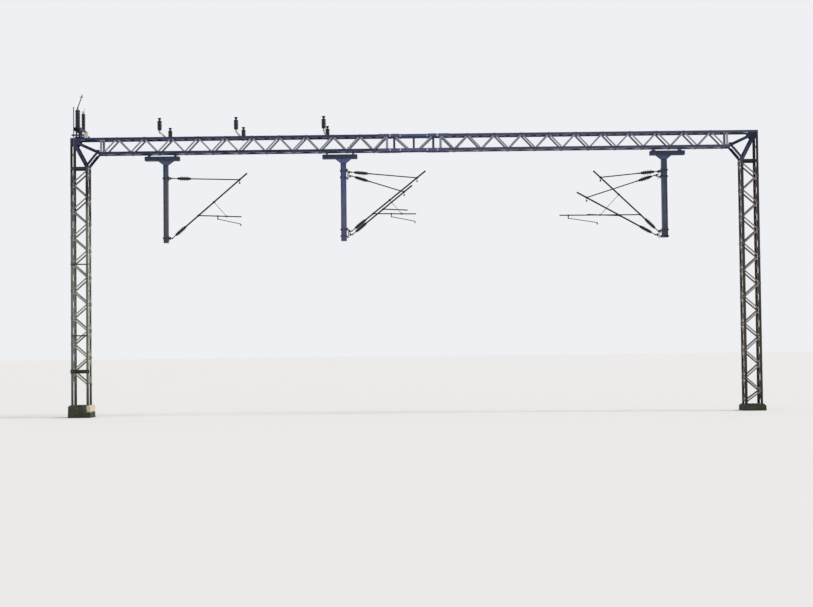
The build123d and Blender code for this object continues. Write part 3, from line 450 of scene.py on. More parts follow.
# On the uprights the top colour is painted backlit shade, darker towards the top.
LEFT_UPRIGHT_PAINTED_SHADE_HEIGHTS = (5.9, 7.4)
RIGHT_UPRIGHT_PAINTED_SHADE_HEIGHTS = (3.5, 7.5)
ARM_SOOT = (7.2, 8.4)
TUBE_SOOT = (5.5, 8.0)
CROSS_ARM_SOOT = (8.0, 9.4)
SWITCH_SOOT = (8.0, 9.6)
ROD_SOOT = (5.0, 9.0)
GEAR_SOOT = (3.0, 8.0)
BOLT_SOOT = (5.5, 8.6)
PLAIN_SOOT = (8.0, 9.0)


def steel(
    name, zinc, soot_and_painted_shade, soot_and_painted_shade_heights, rust_amount, rust=RUST, foot_stain=0.0, metallic=0.25, painted_sunlight=0.0
):
    """Weathered steel in the colours of one member."""
    material, tree, shader, place = start_material(name)
    soot_and_painted_shade_from, soot_and_painted_shade_to = soot_and_painted_shade_heights
    values = {
        "Zinc": zinc,
        "Soot And Painted Shade": soot_and_painted_shade,
        "Rust": rust,
        "Soot And Painted Shade From": soot_and_painted_shade_from,
        "Soot And Painted Shade To": soot_and_painted_shade_to,
        "Rust Amount": rust_amount,
        "Foot Stain": foot_stain,
        "Painted Sunlight": PAINTED_SUNLIGHT,
        "Painted Sunlight Amount": painted_sunlight,
    }
    finish = placed_group(tree, weathered_steel, place, values)
    link(tree, finish.outputs["Color"], shader.inputs["Base Color"])
    link(tree, finish.outputs["Roughness"], shader.inputs["Roughness"])
    shader.inputs["Metallic"].default_value = metallic
    shader.inputs["Specular IOR Level"].default_value = 0.25
    add_bump(tree, shader, finish.outputs["Height"], 0.0012, 0.6)
    return material


# Half the width of a post's dark stripe, where it ends and where the paler colour is full
POST_STRIPE = (0.045, 0.050)


def make_centre_bracing_steel():
    """Steel that is paler on the diagonals of the boom's middle, so that its posts stand out."""
    material = steel("centre_bracing_steel", srgb(60, 70, 104), srgb(54, 64, 100), BOOM_SOOT, 0.3)
    tree = material.node_tree
    shader = tree.nodes["Principled BSDF"]
    place = tree.nodes.new("ShaderNodeTexCoord").outputs["Object"]
    out = away_from(tree, parts_of(tree, place)["X"], PORTAL_CENTRE)
    mask = 1.0
    for post in CENTRE_POSTS:
        beside = ranged(tree, away_from(tree, out, post), *POST_STRIPE)
        mask = product(tree, beside, mask)
    dark = shader.inputs["Base Color"].links[0].from_socket
    link(tree, mixed(tree, mask, dark, srgb(150, 152, 166)), shader.inputs["Base Color"])
    return material


# Radii between which the glaze of a shed is worn more and more
WORN_RADII = (0.050, 0.078)


def glazed_porcelain(name, dark, light, worn_rims=False):
    """Dark glaze with dust on top. Worn rims are paler further out from the core."""
    material, tree, shader, place = start_material(name)
    cloud = ranged(tree, noise_node(tree, place, 14.0, 3.0), 0.3, 0.7)
    glaze = mixed(tree, cloud, dark, light)
    if worn_rims:
        attribute = tree.nodes.new("ShaderNodeAttribute")
        attribute.attribute_name = "radius"
        wear = ranged(tree, attribute.outputs["Fac"], *WORN_RADII)
        glaze = mixed(tree, wear, glaze, srgb(74, 70, 72))
    values = {"Clean": glaze, "Dust": srgb(96, 92, 92), "Amount": 0.2}
    dusty = placed_group(tree, settled_dust, place, values)
    link(tree, dusty.outputs["Color"], shader.inputs["Base Color"])
    rough = ranged(tree, dusty.outputs["Mask"], 0.0, 0.35, 0.22, 0.55)
    link(tree, rough, shader.inputs["Roughness"])
    shader.inputs["Specular IOR Level"].default_value = 0.3
    shader.inputs["Coat Weight"].default_value = 0.15
    shader.inputs["Coat Roughness"].default_value = 0.15
    ripple = noise_node(tree, place, 60.0, 2.0)
    add_bump(tree, shader, ripple, 0.0004, 0.5)
    return material


# The painted sunlit corner on the right of the left plinth: where it begins on X and Z, and where on
# X the painted sunlight ends
PAINTED_SUNLIT_FROM_X = (0.285, 0.315)
PAINTED_SUNLIT_FROM_Z = (0.22, 0.27)
PAINTED_SUNLIT_LIMIT_X = (0.6, 0.5)
MOSS_THINNING = -0.55


def mossy_concrete():
    """Dull gritty concrete, mossier towards the foot, with a painted sunlit corner on the right of
    the left plinth.
    """
    material, tree, shader, place = start_material("mossy_concrete")
    x, _, z = parts_of(tree, place)
    cloud = noise_node(tree, place, 5.0, 5.0, 0.6)
    grit = noise_node(tree, place, 90.0, 4.0, 0.7)
    bare = mixed(tree, ranged(tree, cloud, 0.3, 0.7), srgb(74, 76, 66), srgb(50, 52, 44))
    bare = mixed(tree, ranged(tree, grit, 0.55, 0.75), bare, srgb(100, 98, 86))

    growth = noise_node(tree, place, 7.5, 6.0, 0.62)
    moss_level = combined(tree, "ADD", growth, product(tree, z, MOSS_THINNING))
    moss = ranged(tree, moss_level, 0.30, 0.46)
    green = mixed(tree, ranged(tree, grit, 0.4, 0.65), srgb(30, 38, 24), srgb(58, 68, 38))
    colour = mixed(tree, moss, bare, green)

    # Painted sunlight: the upper right of the left plinth, its lit side, is mixed towards a pale
    # sand colour.
    wander = product(tree, growth, 0.12)
    beside = ranged(tree, combined(tree, "ADD", x, wander), *PAINTED_SUNLIT_FROM_X)
    within = ranged(tree, x, *PAINTED_SUNLIT_LIMIT_X)
    above = ranged(tree, combined(tree, "ADD", z, wander), *PAINTED_SUNLIT_FROM_Z)
    pale = product(tree, beside, within, above)
    link(tree, mixed(tree, pale, colour, srgb(198, 188, 160)), shader.inputs["Base Color"])
    shader.inputs["Roughness"].default_value = 0.92
    lumps = combined(tree, "ADD", grit, product(tree, moss, 1.4))
    add_bump(tree, shader, lumps, 0.006, 0.9)
    return material


def weathered_copper():
    """Brown copper, green in spots."""
    material, tree, shader, place = start_material("weathered_copper")
    cloud = noise_node(tree, place, 26.0, 4.0)
    colour = mixed(tree, ranged(tree, cloud, 0.4, 0.6), srgb(46, 42, 48), srgb(66, 56, 54))
    green = ranged(tree, noise_node(tree, place, 40.0, 5.0, 0.65), 0.58, 0.7)
    colour = mixed(tree, green, colour, srgb(58, 72, 70))
    link(tree, colour, shader.inputs["Base Color"])
    link(tree, ranged(tree, cloud, 0.3, 0.7, 0.38, 0.6), shader.inputs["Roughness"])
    shader.inputs["Metallic"].default_value = 0.35
    add_bump(tree, shader, green, 0.0006, 0.5)
    return material


boom_left_steel = steel(
    "boom_left_steel", srgb(28, 36, 60), srgb(52, 61, 92), LEFT_BOOM_SOOT, 0.3
)
boom_centre_steel = steel(
    "boom_centre_steel", srgb(88, 96, 128), srgb(84, 94, 132), BOOM_SOOT, 0.3
)
centre_bracing_steel = make_centre_bracing_steel()
boom_right_steel = steel(
    "boom_right_steel", srgb(76, 80, 100), srgb(70, 78, 102), BOOM_SOOT, 0.35
)
boom_lacing_steel = steel(
    "boom_lacing_steel", srgb(156, 158, 170), srgb(142, 146, 160), BOOM_SOOT, 0.25
)
# The left upright and its lacing carry painted sunlight on their right-facing faces.
left_upright_steel = steel(
    "left_upright_steel", srgb(104, 120, 110), srgb(30, 28, 34), LEFT_UPRIGHT_PAINTED_SHADE_HEIGHTS, 0.4,
    srgb(66, 56, 40), foot_stain=0.85, painted_sunlight=0.8,
)
left_lacing_steel = steel(
    "left_lacing_steel", srgb(156, 162, 146), srgb(136, 132, 134), LEFT_UPRIGHT_PAINTED_SHADE_HEIGHTS, 0.3,
    srgb(96, 84, 64), foot_stain=0.5, painted_sunlight=0.6,
)
right_upright_steel = steel(
    "right_upright_steel", srgb(66, 58, 54), srgb(52, 46, 50), RIGHT_UPRIGHT_PAINTED_SHADE_HEIGHTS, 0.5,
    srgb(54, 38, 28), foot_stain=0.8,
)
right_lacing_steel = steel(
    "right_lacing_steel", srgb(150, 142, 136), srgb(140, 132, 132), RIGHT_UPRIGHT_PAINTED_SHADE_HEIGHTS, 0.3,
    srgb(88, 70, 56), foot_stain=0.5,
)
left_arm_steel = steel(
    "left_arm_steel", srgb(112, 108, 118), srgb(84, 94, 122), ARM_SOOT, 0.25
)
middle_arm_steel = steel(
    "middle_arm_steel", srgb(112, 116, 148), srgb(90, 108, 150), ARM_SOOT, 0.2
)
right_arm_steel = steel(
    "right_arm_steel", srgb(94, 102, 120), srgb(80, 92, 118), ARM_SOOT, 0.25
)
channel_steel = steel(
    "channel_steel", srgb(72, 84, 112), srgb(66, 78, 106), ARM_SOOT, 0.3
)
tube_steel = steel(
    "tube_steel", srgb(25, 24, 26), srgb(22, 22, 25), TUBE_SOOT, 0.5,
    srgb(42, 34, 30), metallic=0.1,
)
fitting_steel = steel(
    "fitting_steel", srgb(56, 56, 62), srgb(44, 46, 54), TUBE_SOOT, 0.5,
    srgb(64, 48, 38), metallic=0.2,
)
cap_iron = steel(
    "cap_iron", srgb(27, 26, 30), srgb(24, 24, 30), TUBE_SOOT, 0.4,
    srgb(40, 32, 28), metallic=0.1,
)
cross_arm_steel = steel(
    "cross_arm_steel", srgb(226, 216, 204), srgb(222, 212, 202), CROSS_ARM_SOOT, 0.2,
    srgb(160, 132, 112), metallic=0.0,
)
switch_steel = steel(
    "switch_steel", srgb(60, 62, 78), srgb(44, 46, 62), SWITCH_SOOT, 0.3
)
rod_steel = steel(
    "rod_steel", srgb(104, 104, 106), srgb(84, 86, 94), ROD_SOOT, 0.4,
    srgb(84, 66, 52), foot_stain=0.5,
)
gear_steel = steel(
    "gear_steel", srgb(56, 60, 44), srgb(62, 66, 62), GEAR_SOOT, 0.5, srgb(54, 44, 30)
)
bolt_steel = steel(
    "bolt_steel", srgb(112, 114, 122), srgb(84, 88, 102), BOLT_SOOT, 0.4, srgb(90, 66, 50)
)
bright_bolt_steel = steel(
    "bright_bolt_steel", srgb(206, 202, 200), srgb(206, 202, 200), PLAIN_SOOT, 0.15,
    srgb(150, 124, 104),
)
plate_paint = steel(
    "plate_paint", srgb(216, 194, 188), srgb(216, 194, 188), PLAIN_SOOT, 0.5,
    srgb(150, 112, 96), metallic=0.0,
)
brown_glaze = glazed_porcelain("brown_glaze", srgb(24, 20, 22), srgb(38, 30, 31), True)
dark_glaze = glazed_porcelain("dark_glaze", srgb(15, 18, 32), srgb(24, 28, 46))
concrete = mossy_concrete()
copper = weathered_copper()

# Finish of each node that stays in the picture
NODE_FINISH = {
    "left_upright_legs": left_upright_steel,
    "left_upright_lacing": left_lacing_steel,
    "right_upright_legs": right_upright_steel,
    "right_upright_lacing": right_lacing_steel,
    "knee_frames": boom_left_steel,
    "boom_left_chords": boom_left_steel,
    "boom_centre_chords": boom_centre_steel,
    "boom_right_chords": boom_right_steel,
    "boom_left_face_lacing": boom_lacing_steel,
    "boom_right_face_lacing": boom_lacing_steel,
    "boom_left_flat_lacing": boom_lacing_steel,
    "boom_right_flat_lacing": boom_lacing_steel,
    "boom_centre_bracing": centre_bracing_steel,
    "boom_splice_covers": boom_centre_steel,
    "left_drop_arm": left_arm_steel,
    "middle_drop_arm": middle_arm_steel,
    "right_drop_arm": right_arm_steel,
    "arm_cross_channels": channel_steel,
    "hanger_channels": channel_steel,
    "left_arm_brackets": fitting_steel,
    "middle_arm_brackets": fitting_steel,
    "right_arm_brackets": fitting_steel,
    "line_post_arms": cross_arm_steel,
    "isolator_stool": switch_steel,
    "isolator_contacts": copper,
    "isolator_blade": copper,
    "isolator_rod": rod_steel,
    "isolator_rod_guides": gear_steel,
}
for name, node in nodes.items():
    finish = NODE_FINISH.get(name)
    if name.startswith("cantilever") and not name.endswith("_insulators"):
        finish = tube_steel
    if finish:
        node.material_slots[0].material = finish


# Geometry Nodes: bolt heads on washers at a list of places
WASHER_SIDES = 12
WASHER_SHARE = 0.75
WASHER_HEIGHT = 0.003
BOLT_WIDTH = 0.024
BOLT_HEIGHT = 0.010
BOLT_SHARP_ANGLE = 30


def make_bolt_tree():
    tree = bpy.data.node_groups.new("bolt_heads", "GeometryNodeTree")
    tree.interface.new_socket("Geometry", in_out="INPUT", socket_type="NodeSocketGeometry")
    for label, kind in (
        ("Head Width", "NodeSocketFloat"),
        ("Head Height", "NodeSocketFloat"),
        ("Washer Radius", "NodeSocketFloat"),
        ("Washer Height", "NodeSocketFloat"),
        ("Facing", "NodeSocketVector"),
        ("Finish", "NodeSocketMaterial"),
    ):
        tree.interface.new_socket(label, in_out="INPUT", socket_type=kind)
    tree.interface.new_socket("Geometry", in_out="OUTPUT", socket_type="NodeSocketGeometry")
    start = tree.nodes.new("NodeGroupInput")
    end = tree.nodes.new("NodeGroupOutput")
    given = start.outputs

    def cylinder(sides, radius, depth, lift):
        solid = tree.nodes.new("GeometryNodeMeshCylinder")
        solid.inputs["Vertices"].default_value = sides
        link(tree, radius, solid.inputs["Radius"])
        link(tree, depth, solid.inputs["Depth"])
        shift = tree.nodes.new("ShaderNodeCombineXYZ")
        link(tree, lift, shift.inputs["Z"])
        moved = tree.nodes.new("GeometryNodeTransform")
        link(tree, solid.outputs["Mesh"], moved.inputs["Geometry"])
        link(tree, shift.outputs["Vector"], moved.inputs["Translation"])
        return moved.outputs["Geometry"]

    flats_to_corners = 2 * math.cos(math.pi / HEXAGON)
    head_radius = combined(tree, "DIVIDE", given["Head Width"], flats_to_corners)
    washer_lift = combined(tree, "DIVIDE", given["Washer Height"], 2.0)
    head_half = combined(tree, "DIVIDE", given["Head Height"], 2.0)
    head_lift = combined(tree, "ADD", given["Washer Height"], head_half)
    head = cylinder(HEXAGON, head_radius, given["Head Height"], head_lift)
    washer = cylinder(WASHER_SIDES, given["Washer Radius"], given["Washer Height"], washer_lift)
    joined = tree.nodes.new("GeometryNodeJoinGeometry")
    link(tree, head, joined.inputs["Geometry"])
    link(tree, washer, joined.inputs["Geometry"])
    turn = tree.nodes.new("FunctionNodeAlignRotationToVector")
    turn.axis = "Z"
    link(tree, given["Facing"], turn.inputs["Vector"])
    spread = tree.nodes.new("GeometryNodeInstanceOnPoints")
    link(tree, given["Geometry"], spread.inputs["Points"])
    link(tree, joined.outputs["Geometry"], spread.inputs["Instance"])
    link(tree, turn.outputs["Rotation"], spread.inputs["Rotation"])
    real = tree.nodes.new("GeometryNodeRealizeInstances")
    link(tree, spread.outputs["Instances"], real.inputs["Geometry"])
    painted = tree.nodes.new("GeometryNodeSetMaterial")
    link(tree, real.outputs["Geometry"], painted.inputs["Geometry"])
    link(tree, given["Finish"], painted.inputs["Material"])
    link(tree, painted.outputs["Geometry"], end.inputs["Geometry"])
    return tree


bolt_tree = make_bolt_tree()


def bolts(name, places, body, finish, width=BOLT_WIDTH, height=BOLT_HEIGHT):
    """One mesh of bolt heads. places is a list of (facing, points)."""
    whole = bmesh.new()
    for facing_way, points in places:
        cloud = bpy.data.meshes.new(name + "_places")
        cloud.from_pydata([tuple(point) for point in points], [], [])
        holder = bpy.data.objects.new(name + "_holder", cloud)
        bpy.context.scene.collection.objects.link(holder)
        modifier = holder.modifiers.new("bolt_heads", "NODES")
        modifier.node_group = bolt_tree
        values = {
            "Head Width": width,
            "Head Height": height,
            "Washer Radius": width * WASHER_SHARE,
            "Washer Height": WASHER_HEIGHT,
            "Facing": facing_way,
            "Finish": finish,
        }
        for item in bolt_tree.interface.items_tree:
            if item.in_out == "INPUT" and item.name in values:
                modifier[item.identifier] = values[item.name]
        graph = bpy.context.evaluated_depsgraph_get()
        made = bpy.data.meshes.new_from_object(holder.evaluated_get(graph))
        whole.from_mesh(made)
        holder.modifiers.remove(modifier)
        bpy.data.objects.remove(holder)
        bpy.data.meshes.remove(made)
        bpy.data.meshes.remove(cloud)
    return new_piece(name, whole, [finish], body, BOLT_SHARP_ANGLE)


FRONT = (0.0, -1.0, 0.0)
BACK = (0.0, 1.0, 0.0)
UP = (0.0, 0.0, 1.0)
DOWN = (0.0, 0.0, -1.0)
LEFT = (-1.0, 0.0, 0.0)
RIGHT = (1.0, 0.0, 0.0)


def front_and_back(points):
    """The same places on the front and on the back. Their Y is that of the back."""
    return [(FRONT, [(x, -y, z) for x, y, z in points]), (BACK, points)]


def as_placed(x):
    return x


def mirrored(x):
    return 2 * PORTAL_CENTRE - x


# Lacing bolts: pairs at each node, the same on both sides of the portal's centre
BOLT_PAIR = 0.021
SIDES = {"left": as_placed, "right": mirrored}


def boom_bolt_places(to_x):
    """Bolts at the lacing nodes of one girder. to_x turns a left X into the girder's own."""
    face, flat = [], []
    for index in range(BOOM_PANELS + 1):
        x = FIRST_NODE + index * BOOM_PITCH
        z = LOW_LINE if index % 2 == 0 else HIGH_LINE
        y = CHORD_LINE if index % 2 == 0 else -CHORD_LINE
        for shift in (-BOLT_PAIR, BOLT_PAIR):
            face.append((to_x(x + shift), HALF_DEPTH, z))
            flat.append((to_x(x + shift), y))
    for z in (LOW_LINE, HIGH_LINE):
        face.append((to_x(END_POST), HALF_DEPTH, z))
    return [
        *front_and_back(face),
        (UP, [(x, y, BOOM_TOP) for x, y in flat]),
        (DOWN, [(x, y, BOOM_BOTTOM) for x, y in flat]),
    ]


def upright_bolt_places(count, to_x):
    """Bolts at the lacing nodes of one upright, on its four sides."""
    front, side = [], []
    for index in range(count + 1):
        z = TOWER_TOP_NODE - index * TOWER_PITCH
        turn = 1 if index % 2 == 0 else -1
        for shift in (-BOLT_PAIR, BOLT_PAIR):
            front.append((to_x(turn * LEG_LINE), HALF_DEPTH, z + shift))
            side.append((turn * CHORD_LINE, z + shift))
    outward = LEFT if to_x(0) < to_x(1) else RIGHT
    inward = RIGHT if outward == LEFT else LEFT
    return [
        *front_and_back(front),
        (outward, [(to_x(-LEG_HALF), y, z) for y, z in side]),
        (inward, [(to_x(LEG_HALF), y, z) for y, z in side]),
    ]


for side, to_x in SIDES.items():
    bolts("boom_" + side + "_bolts", boom_bolt_places(to_x), "portal", bolt_steel)
for side, to_x in SIDES.items():
    places = upright_bolt_places(TOWER_BARS[side], to_x)
    bolts(side + "_upright_bolts", places, "portal", bolt_steel)

# Splices: rows of bolts on the cover angles, and brighter ones on them and on the chords inside
COVER_CENTRE = 0.800
COVER_HALF = 0.340
COVER_PLATE = 0.008
COVER_ROWS = 8
COVER_END = 0.045
COVER_ROW_PITCH = 0.0845
BRIGHT_ROW = 3
BRIGHT_SHIFT = 0.026
BRIGHT_WIDTH = 0.032
BRIGHT_HEIGHT = 0.014
INNER_BRIGHT = 0.432
INNER_BRIGHT_COUNT = 3
cover_rows, bright_rows = [], []
for sign in (-1, 1):
    for step in range(COVER_ROWS):
        reach = COVER_CENTRE - COVER_HALF + COVER_END + step * COVER_ROW_PITCH
        row_x = PORTAL_CENTRE + sign * reach
        (bright_rows if step == BRIGHT_ROW else cover_rows).append(row_x)
cover_y = HALF_DEPTH + COVER_PLATE
cover_top = BOOM_TOP + COVER_PLATE
cover_bottom = BOOM_BOTTOM - COVER_PLATE
bolts(
    "splice_bolts",
    [
        *front_and_back([(x, cover_y, z) for x in cover_rows for z in (LOW_LINE, HIGH_LINE)]),
        (UP, [(x, y, cover_top) for x in cover_rows for y in (-CHORD_LINE, CHORD_LINE)]),
        (DOWN, [(x, y, cover_bottom) for x in cover_rows for y in (-CHORD_LINE, CHORD_LINE)]),
    ],
    "portal",
    bolt_steel,
)
bright_lines = [z + shift for z in (LOW_LINE, HIGH_LINE) for shift in (-BRIGHT_SHIFT, BRIGHT_SHIFT)]
inner_lines = bright_lines[:INNER_BRIGHT_COUNT]
inner_rows = [PORTAL_CENTRE - INNER_BRIGHT, PORTAL_CENTRE + INNER_BRIGHT]
bright_places = [(x, cover_y, z) for x in bright_rows for z in bright_lines]
bright_places += [(x, HALF_DEPTH, z) for x in inner_rows for z in inner_lines]
bolts(
    "bright_splice_bolts",
    front_and_back(bright_places),
    "portal",
    bright_bolt_steel,
    BRIGHT_WIDTH,
    BRIGHT_HEIGHT,
)

# Arm heads: bolts through the wing plates, and at both ends of the hangers
ARM_HALF_FLANGE = 0.076
ARM_DEPTHS = {"left": 0.152, "middle": 0.178, "right": 0.178}
ARM_SIDES = {"left": 1, "middle": 1, "right": -1}
CHANNEL_PLATE = 0.006
CHANNEL_TOP = BOOM_BOTTOM - 0.085
CHANNEL_BOTTOM = CHANNEL_TOP - 0.125
WING_BOLTS_X = (-0.215, -0.120, 0.120, 0.215)
WING_BOLTS_Z = (0.038, 0.087)
HANGERS = (0.320, -0.520)
HANGER_BOLT_SHIFT = 0.008
HANGER_BOLT_Y = 0.112
arm_centres = {}
for arm in ARM_SIDES:
    low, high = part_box(arm + "_drop_arm")
    arm_centres[arm] = (low.x + high.x) / 2
wing_y = ARM_HALF_FLANGE + CHANNEL_PLATE
wing_bolts, lower_bolts, upper_nuts = [], [], []
for arm, side in ARM_SIDES.items():
    for dx in WING_BOLTS_X:
        for dz in WING_BOLTS_Z:
            wing_bolts.append((arm_centres[arm] + dx, wing_y, CHANNEL_BOTTOM + dz))
    for reach in HANGERS:
        x = arm_centres[arm] + side * reach + HANGER_BOLT_SHIFT
        for y in (-HANGER_BOLT_Y, HANGER_BOLT_Y):
            lower_bolts.append((x, y, CHANNEL_TOP + CHANNEL_PLATE))
        for y in (-CHORD_LINE, CHORD_LINE):
            upper_nuts.append((x, y, BOOM_BOTTOM - CHANNEL_PLATE))
bolts(
    "arm_head_bolts",
    [*front_and_back(wing_bolts), (UP, lower_bolts), (DOWN, upper_nuts)],
    "portal",
    bolt_steel,
)

# Swivel brackets: heads on the near side, nuts on the straps behind the arm
STRAP_BOLT_Y = 0.088
STRAP_PLATE = 0.010
STRAP_BOLT_WIDTH = 0.026
STRAP_BOLT_HEIGHT = 0.012
SINGLE_LEVELS = (7.640, 5.710)
SINGLE_PLATE = 0.012
TWIN_LEVELS = {"middle": (7.710, 5.820), "right": (7.620, 5.7025)}
TWIN_SPREAD = 0.105
TWIN_PLATE = 0.006
heads = {LEFT: [], RIGHT: []}
for arm, side in ARM_SIDES.items():
    if arm == "left":
        rows = [(z, SINGLE_PLATE) for z in SINGLE_LEVELS]
    else:
        rows = [(z + s * TWIN_SPREAD, TWIN_PLATE) for z in TWIN_LEVELS[arm] for s in (-1, 1)]
    near, far = (RIGHT, LEFT) if side > 0 else (LEFT, RIGHT)
    half = ARM_DEPTHS[arm] / 2
    for z, plate in rows:
        for y in (-STRAP_BOLT_Y, STRAP_BOLT_Y):
            heads[near].append((arm_centres[arm] + side * (half + plate), y, z))
            heads[far].append((arm_centres[arm] - side * (half + STRAP_PLATE), y, z))
bolts(
    "bracket_bolts",
    list(heads.items()),
    "portal",
    fitting_steel,
    STRAP_BOLT_WIDTH,
    STRAP_BOLT_HEIGHT,
)

# Bolts of the knees, of the rod guides and the gear channel, and of the stool
KNEE_LEG_BOLTS = (7.955, 8.000, 8.045)
CORNER_DOWN = (8.710, 8.770, 8.830, 8.890)
CORNER_ALONG = (0.100, 0.160, 0.220)
GUIDE_PLATE = 0.006
GUIDE_HEIGHTS = (2.613, 4.893, 7.970)
GEAR_CENTRE = 1.469
GEAR_BOLT_SPREAD = 0.026
STOOL_LEG_X = 0.080
STOOL_BOLT_SPREAD = 0.012
RAIL_FACE = CHORD_LINE + 0.031
RAIL_HEIGHT = 0.090
knee = [(-LEG_LINE, z) for z in CORNER_DOWN] + [(LEG_LINE, z) for z in KNEE_LEG_BOLTS]
knee += [(OUTER_FACE - LEFT_UPRIGHT + x, HIGH_LINE) for x in CORNER_ALONG]
knee += [(-LEG_LINE, z) for z in KNEE_LEG_BOLTS[:2]]
knee_places = [(LEFT_UPRIGHT + x, z) for x, z in knee] + [(RIGHT_UPRIGHT - x, z) for x, z in knee]
guide_y = -HALF_DEPTH - GUIDE_PLATE
guide_bolts = [(x, guide_y, z) for z in GUIDE_HEIGHTS for x in (-LEG_LINE, LEG_LINE)]
for x in (-LEG_LINE, LEG_LINE):
    for dz in (-GEAR_BOLT_SPREAD, GEAR_BOLT_SPREAD):
        guide_bolts.append((x, guide_y, GEAR_CENTRE + dz))
for sign in (-1, 1):
    for dz in (-STOOL_BOLT_SPREAD, STOOL_BOLT_SPREAD):
        guide_bolts.append((sign * STOOL_LEG_X, -RAIL_FACE, BOOM_TOP + RAIL_HEIGHT + dz))
bolts(
    "knee_and_guide_bolts",
    [
        (FRONT, [(x, -HALF_DEPTH, z) for x, z in knee_places] + guide_bolts),
        (BACK, [(x, HALF_DEPTH, z) for x, z in knee_places]),
    ],
    "portal",
    bolt_steel,
)

# Bolts that hold the line post arms on the boom
LINE_POST_X = (2.720, 5.130, 7.890)
LINE_ARM_TOP = BOOM_TOP + 0.050
SEAT_BOLTS_X = (-0.009, 0.012)
SEAT_BOLT_WIDTH = 0.020
seat_bolts = [
    (x + dx, y, LINE_ARM_TOP)
    for x in LINE_POST_X
    for y in (-CHORD_LINE, CHORD_LINE)
    for dx in SEAT_BOLTS_X
]
bolts("line_arm_bolts", [(UP, seat_bolts)], "portal", bolt_steel, SEAT_BOLT_WIDTH)

# A blank plate beside the switch
BLANK_PLATE_X = 0.230
BLANK_PLATE_SIZE = (0.130, 0.004, 0.170)
BLANK_PLATE_EDGE = 0.001
_, plate_thickness, plate_height = BLANK_PLATE_SIZE
plate_y = -RAIL_FACE - plate_thickness / 2
plate_z = BOOM_TOP + plate_height / 2
mesh = bmesh.new()
block(mesh, (BLANK_PLATE_X, plate_y, plate_z), BLANK_PLATE_SIZE, BLANK_PLATE_EDGE)
new_piece("switch_plate", mesh, [plate_paint], "portal")

# Sheds: outlines of one, each point a share of the pitch along and of the way to the rim
BELL_SHED = (
    (0.08, 0.00), (0.26, 0.22), (0.44, 0.62), (0.55, 0.92), (0.62, 1.00),
    (0.69, 0.97), (0.71, 0.88), (0.66, 0.60), (0.70, 0.28), (0.82, 0.04),
)
THIN_SHED = (
    (0.28, 0.00), (0.36, 0.10), (0.43, 0.45), (0.48, 0.85), (0.50, 0.97),
    (0.53, 1.00), (0.56, 0.97), (0.58, 0.85), (0.61, 0.45), (0.68, 0.10), (0.76, 0.00),
)


def sheds(start, count, pitch, core, rims, profile=BELL_SHED):
    """Outline of sheds whose rims take turns in size."""
    outline = [(start, core)]
    for index in range(count):
        rim = rims[index % len(rims)]
        for along, out in profile:
            outline.append((start + (index + along) * pitch, core + out * (rim - core)))
    outline.append((start + count * pitch, core))
    return outline


# Cantilevers

# side is the way they reach from their arm, and upper is the height of the stay's pin.
# rods holds the lengths from knuckle to cap of the stay and of the bracket. tip is the end of the
# bracket tube, out from the arm's centre and up. stay is how far out the stay meets that tube.
CANTILEVERS = {
    "cantilever_1": dict(
        side=1, arm="left", upper=7.640, rods=(0.180, 0.150), tip=(2.610, 7.780), stay=2.370
    ),
    "cantilever_2": dict(
        side=1, arm="middle", upper=7.740, rods=(0.105, 0.150), tip=(2.630, 7.750), stay=2.360
    ),
    "cantilever_3": dict(
        side=1, arm="middle", upper=7.680, rods=(0.105, 0.150), tip=(2.200, 7.360), stay=1.940
    ),
    "cantilever_4": dict(
        side=-1, arm="right", upper=7.650, rods=(0.105, 0.150), tip=(2.300, 7.690), stay=2.080
    ),
    "cantilever_5": dict(
        side=-1, arm="right", upper=7.590, rods=(0.105, 0.150), tip=(2.770, 7.070), stay=2.460
    ),
}
STAY_TUBE_START = 0.605
BRACKET_TUBE_START = 0.575
KNUCKLE_REACH = 0.062
KNUCKLE_RADIUS = 0.024
KNUCKLE_WIDTH = 0.044
NUT_REACH = 0.008
NUT_RADIUS = 0.013
STUB_RADIUS = 0.014
STUB_INSET = 0.004
EYE_RADIUS = 0.022
EYE_HEIGHT = 0.044
PIN_BORE = 0.01005
CAP_LENGTH = 0.080
CAP_RADIUS = 0.040
CORE_RADIUS = 0.047
SHED_COUNT = 5
SHED_PITCH = 0.053
SHED_RIMS = (0.078,)
SOCKET_RADIUS = 0.021
SOCKET_INTO_CAP = 0.004
SOCKET_OVER_TUBE = 0.030
SHORTEST_SOCKET = 0.005

# Outlines at the ends of a cap, each point (distance past that end, radius)
ROD_COLLAR = (
    (-0.012, STUB_RADIUS), (-0.010, 0.021), (0.0, 0.024),
    (0.006, CAP_RADIUS - 0.002), (0.014, CAP_RADIUS),
)
CAP_SKIRT = (
    (0.010, CAP_RADIUS + 0.001), (0.003, CORE_RADIUS + 0.004),
    (-0.002, CORE_RADIUS + 0.003), (-0.002, CORE_RADIUS - 0.006),
)
CAP_END = ((-0.012, CAP_RADIUS), (-0.004, CAP_RADIUS - 0.003), (0.0, CAP_RADIUS - 0.008))


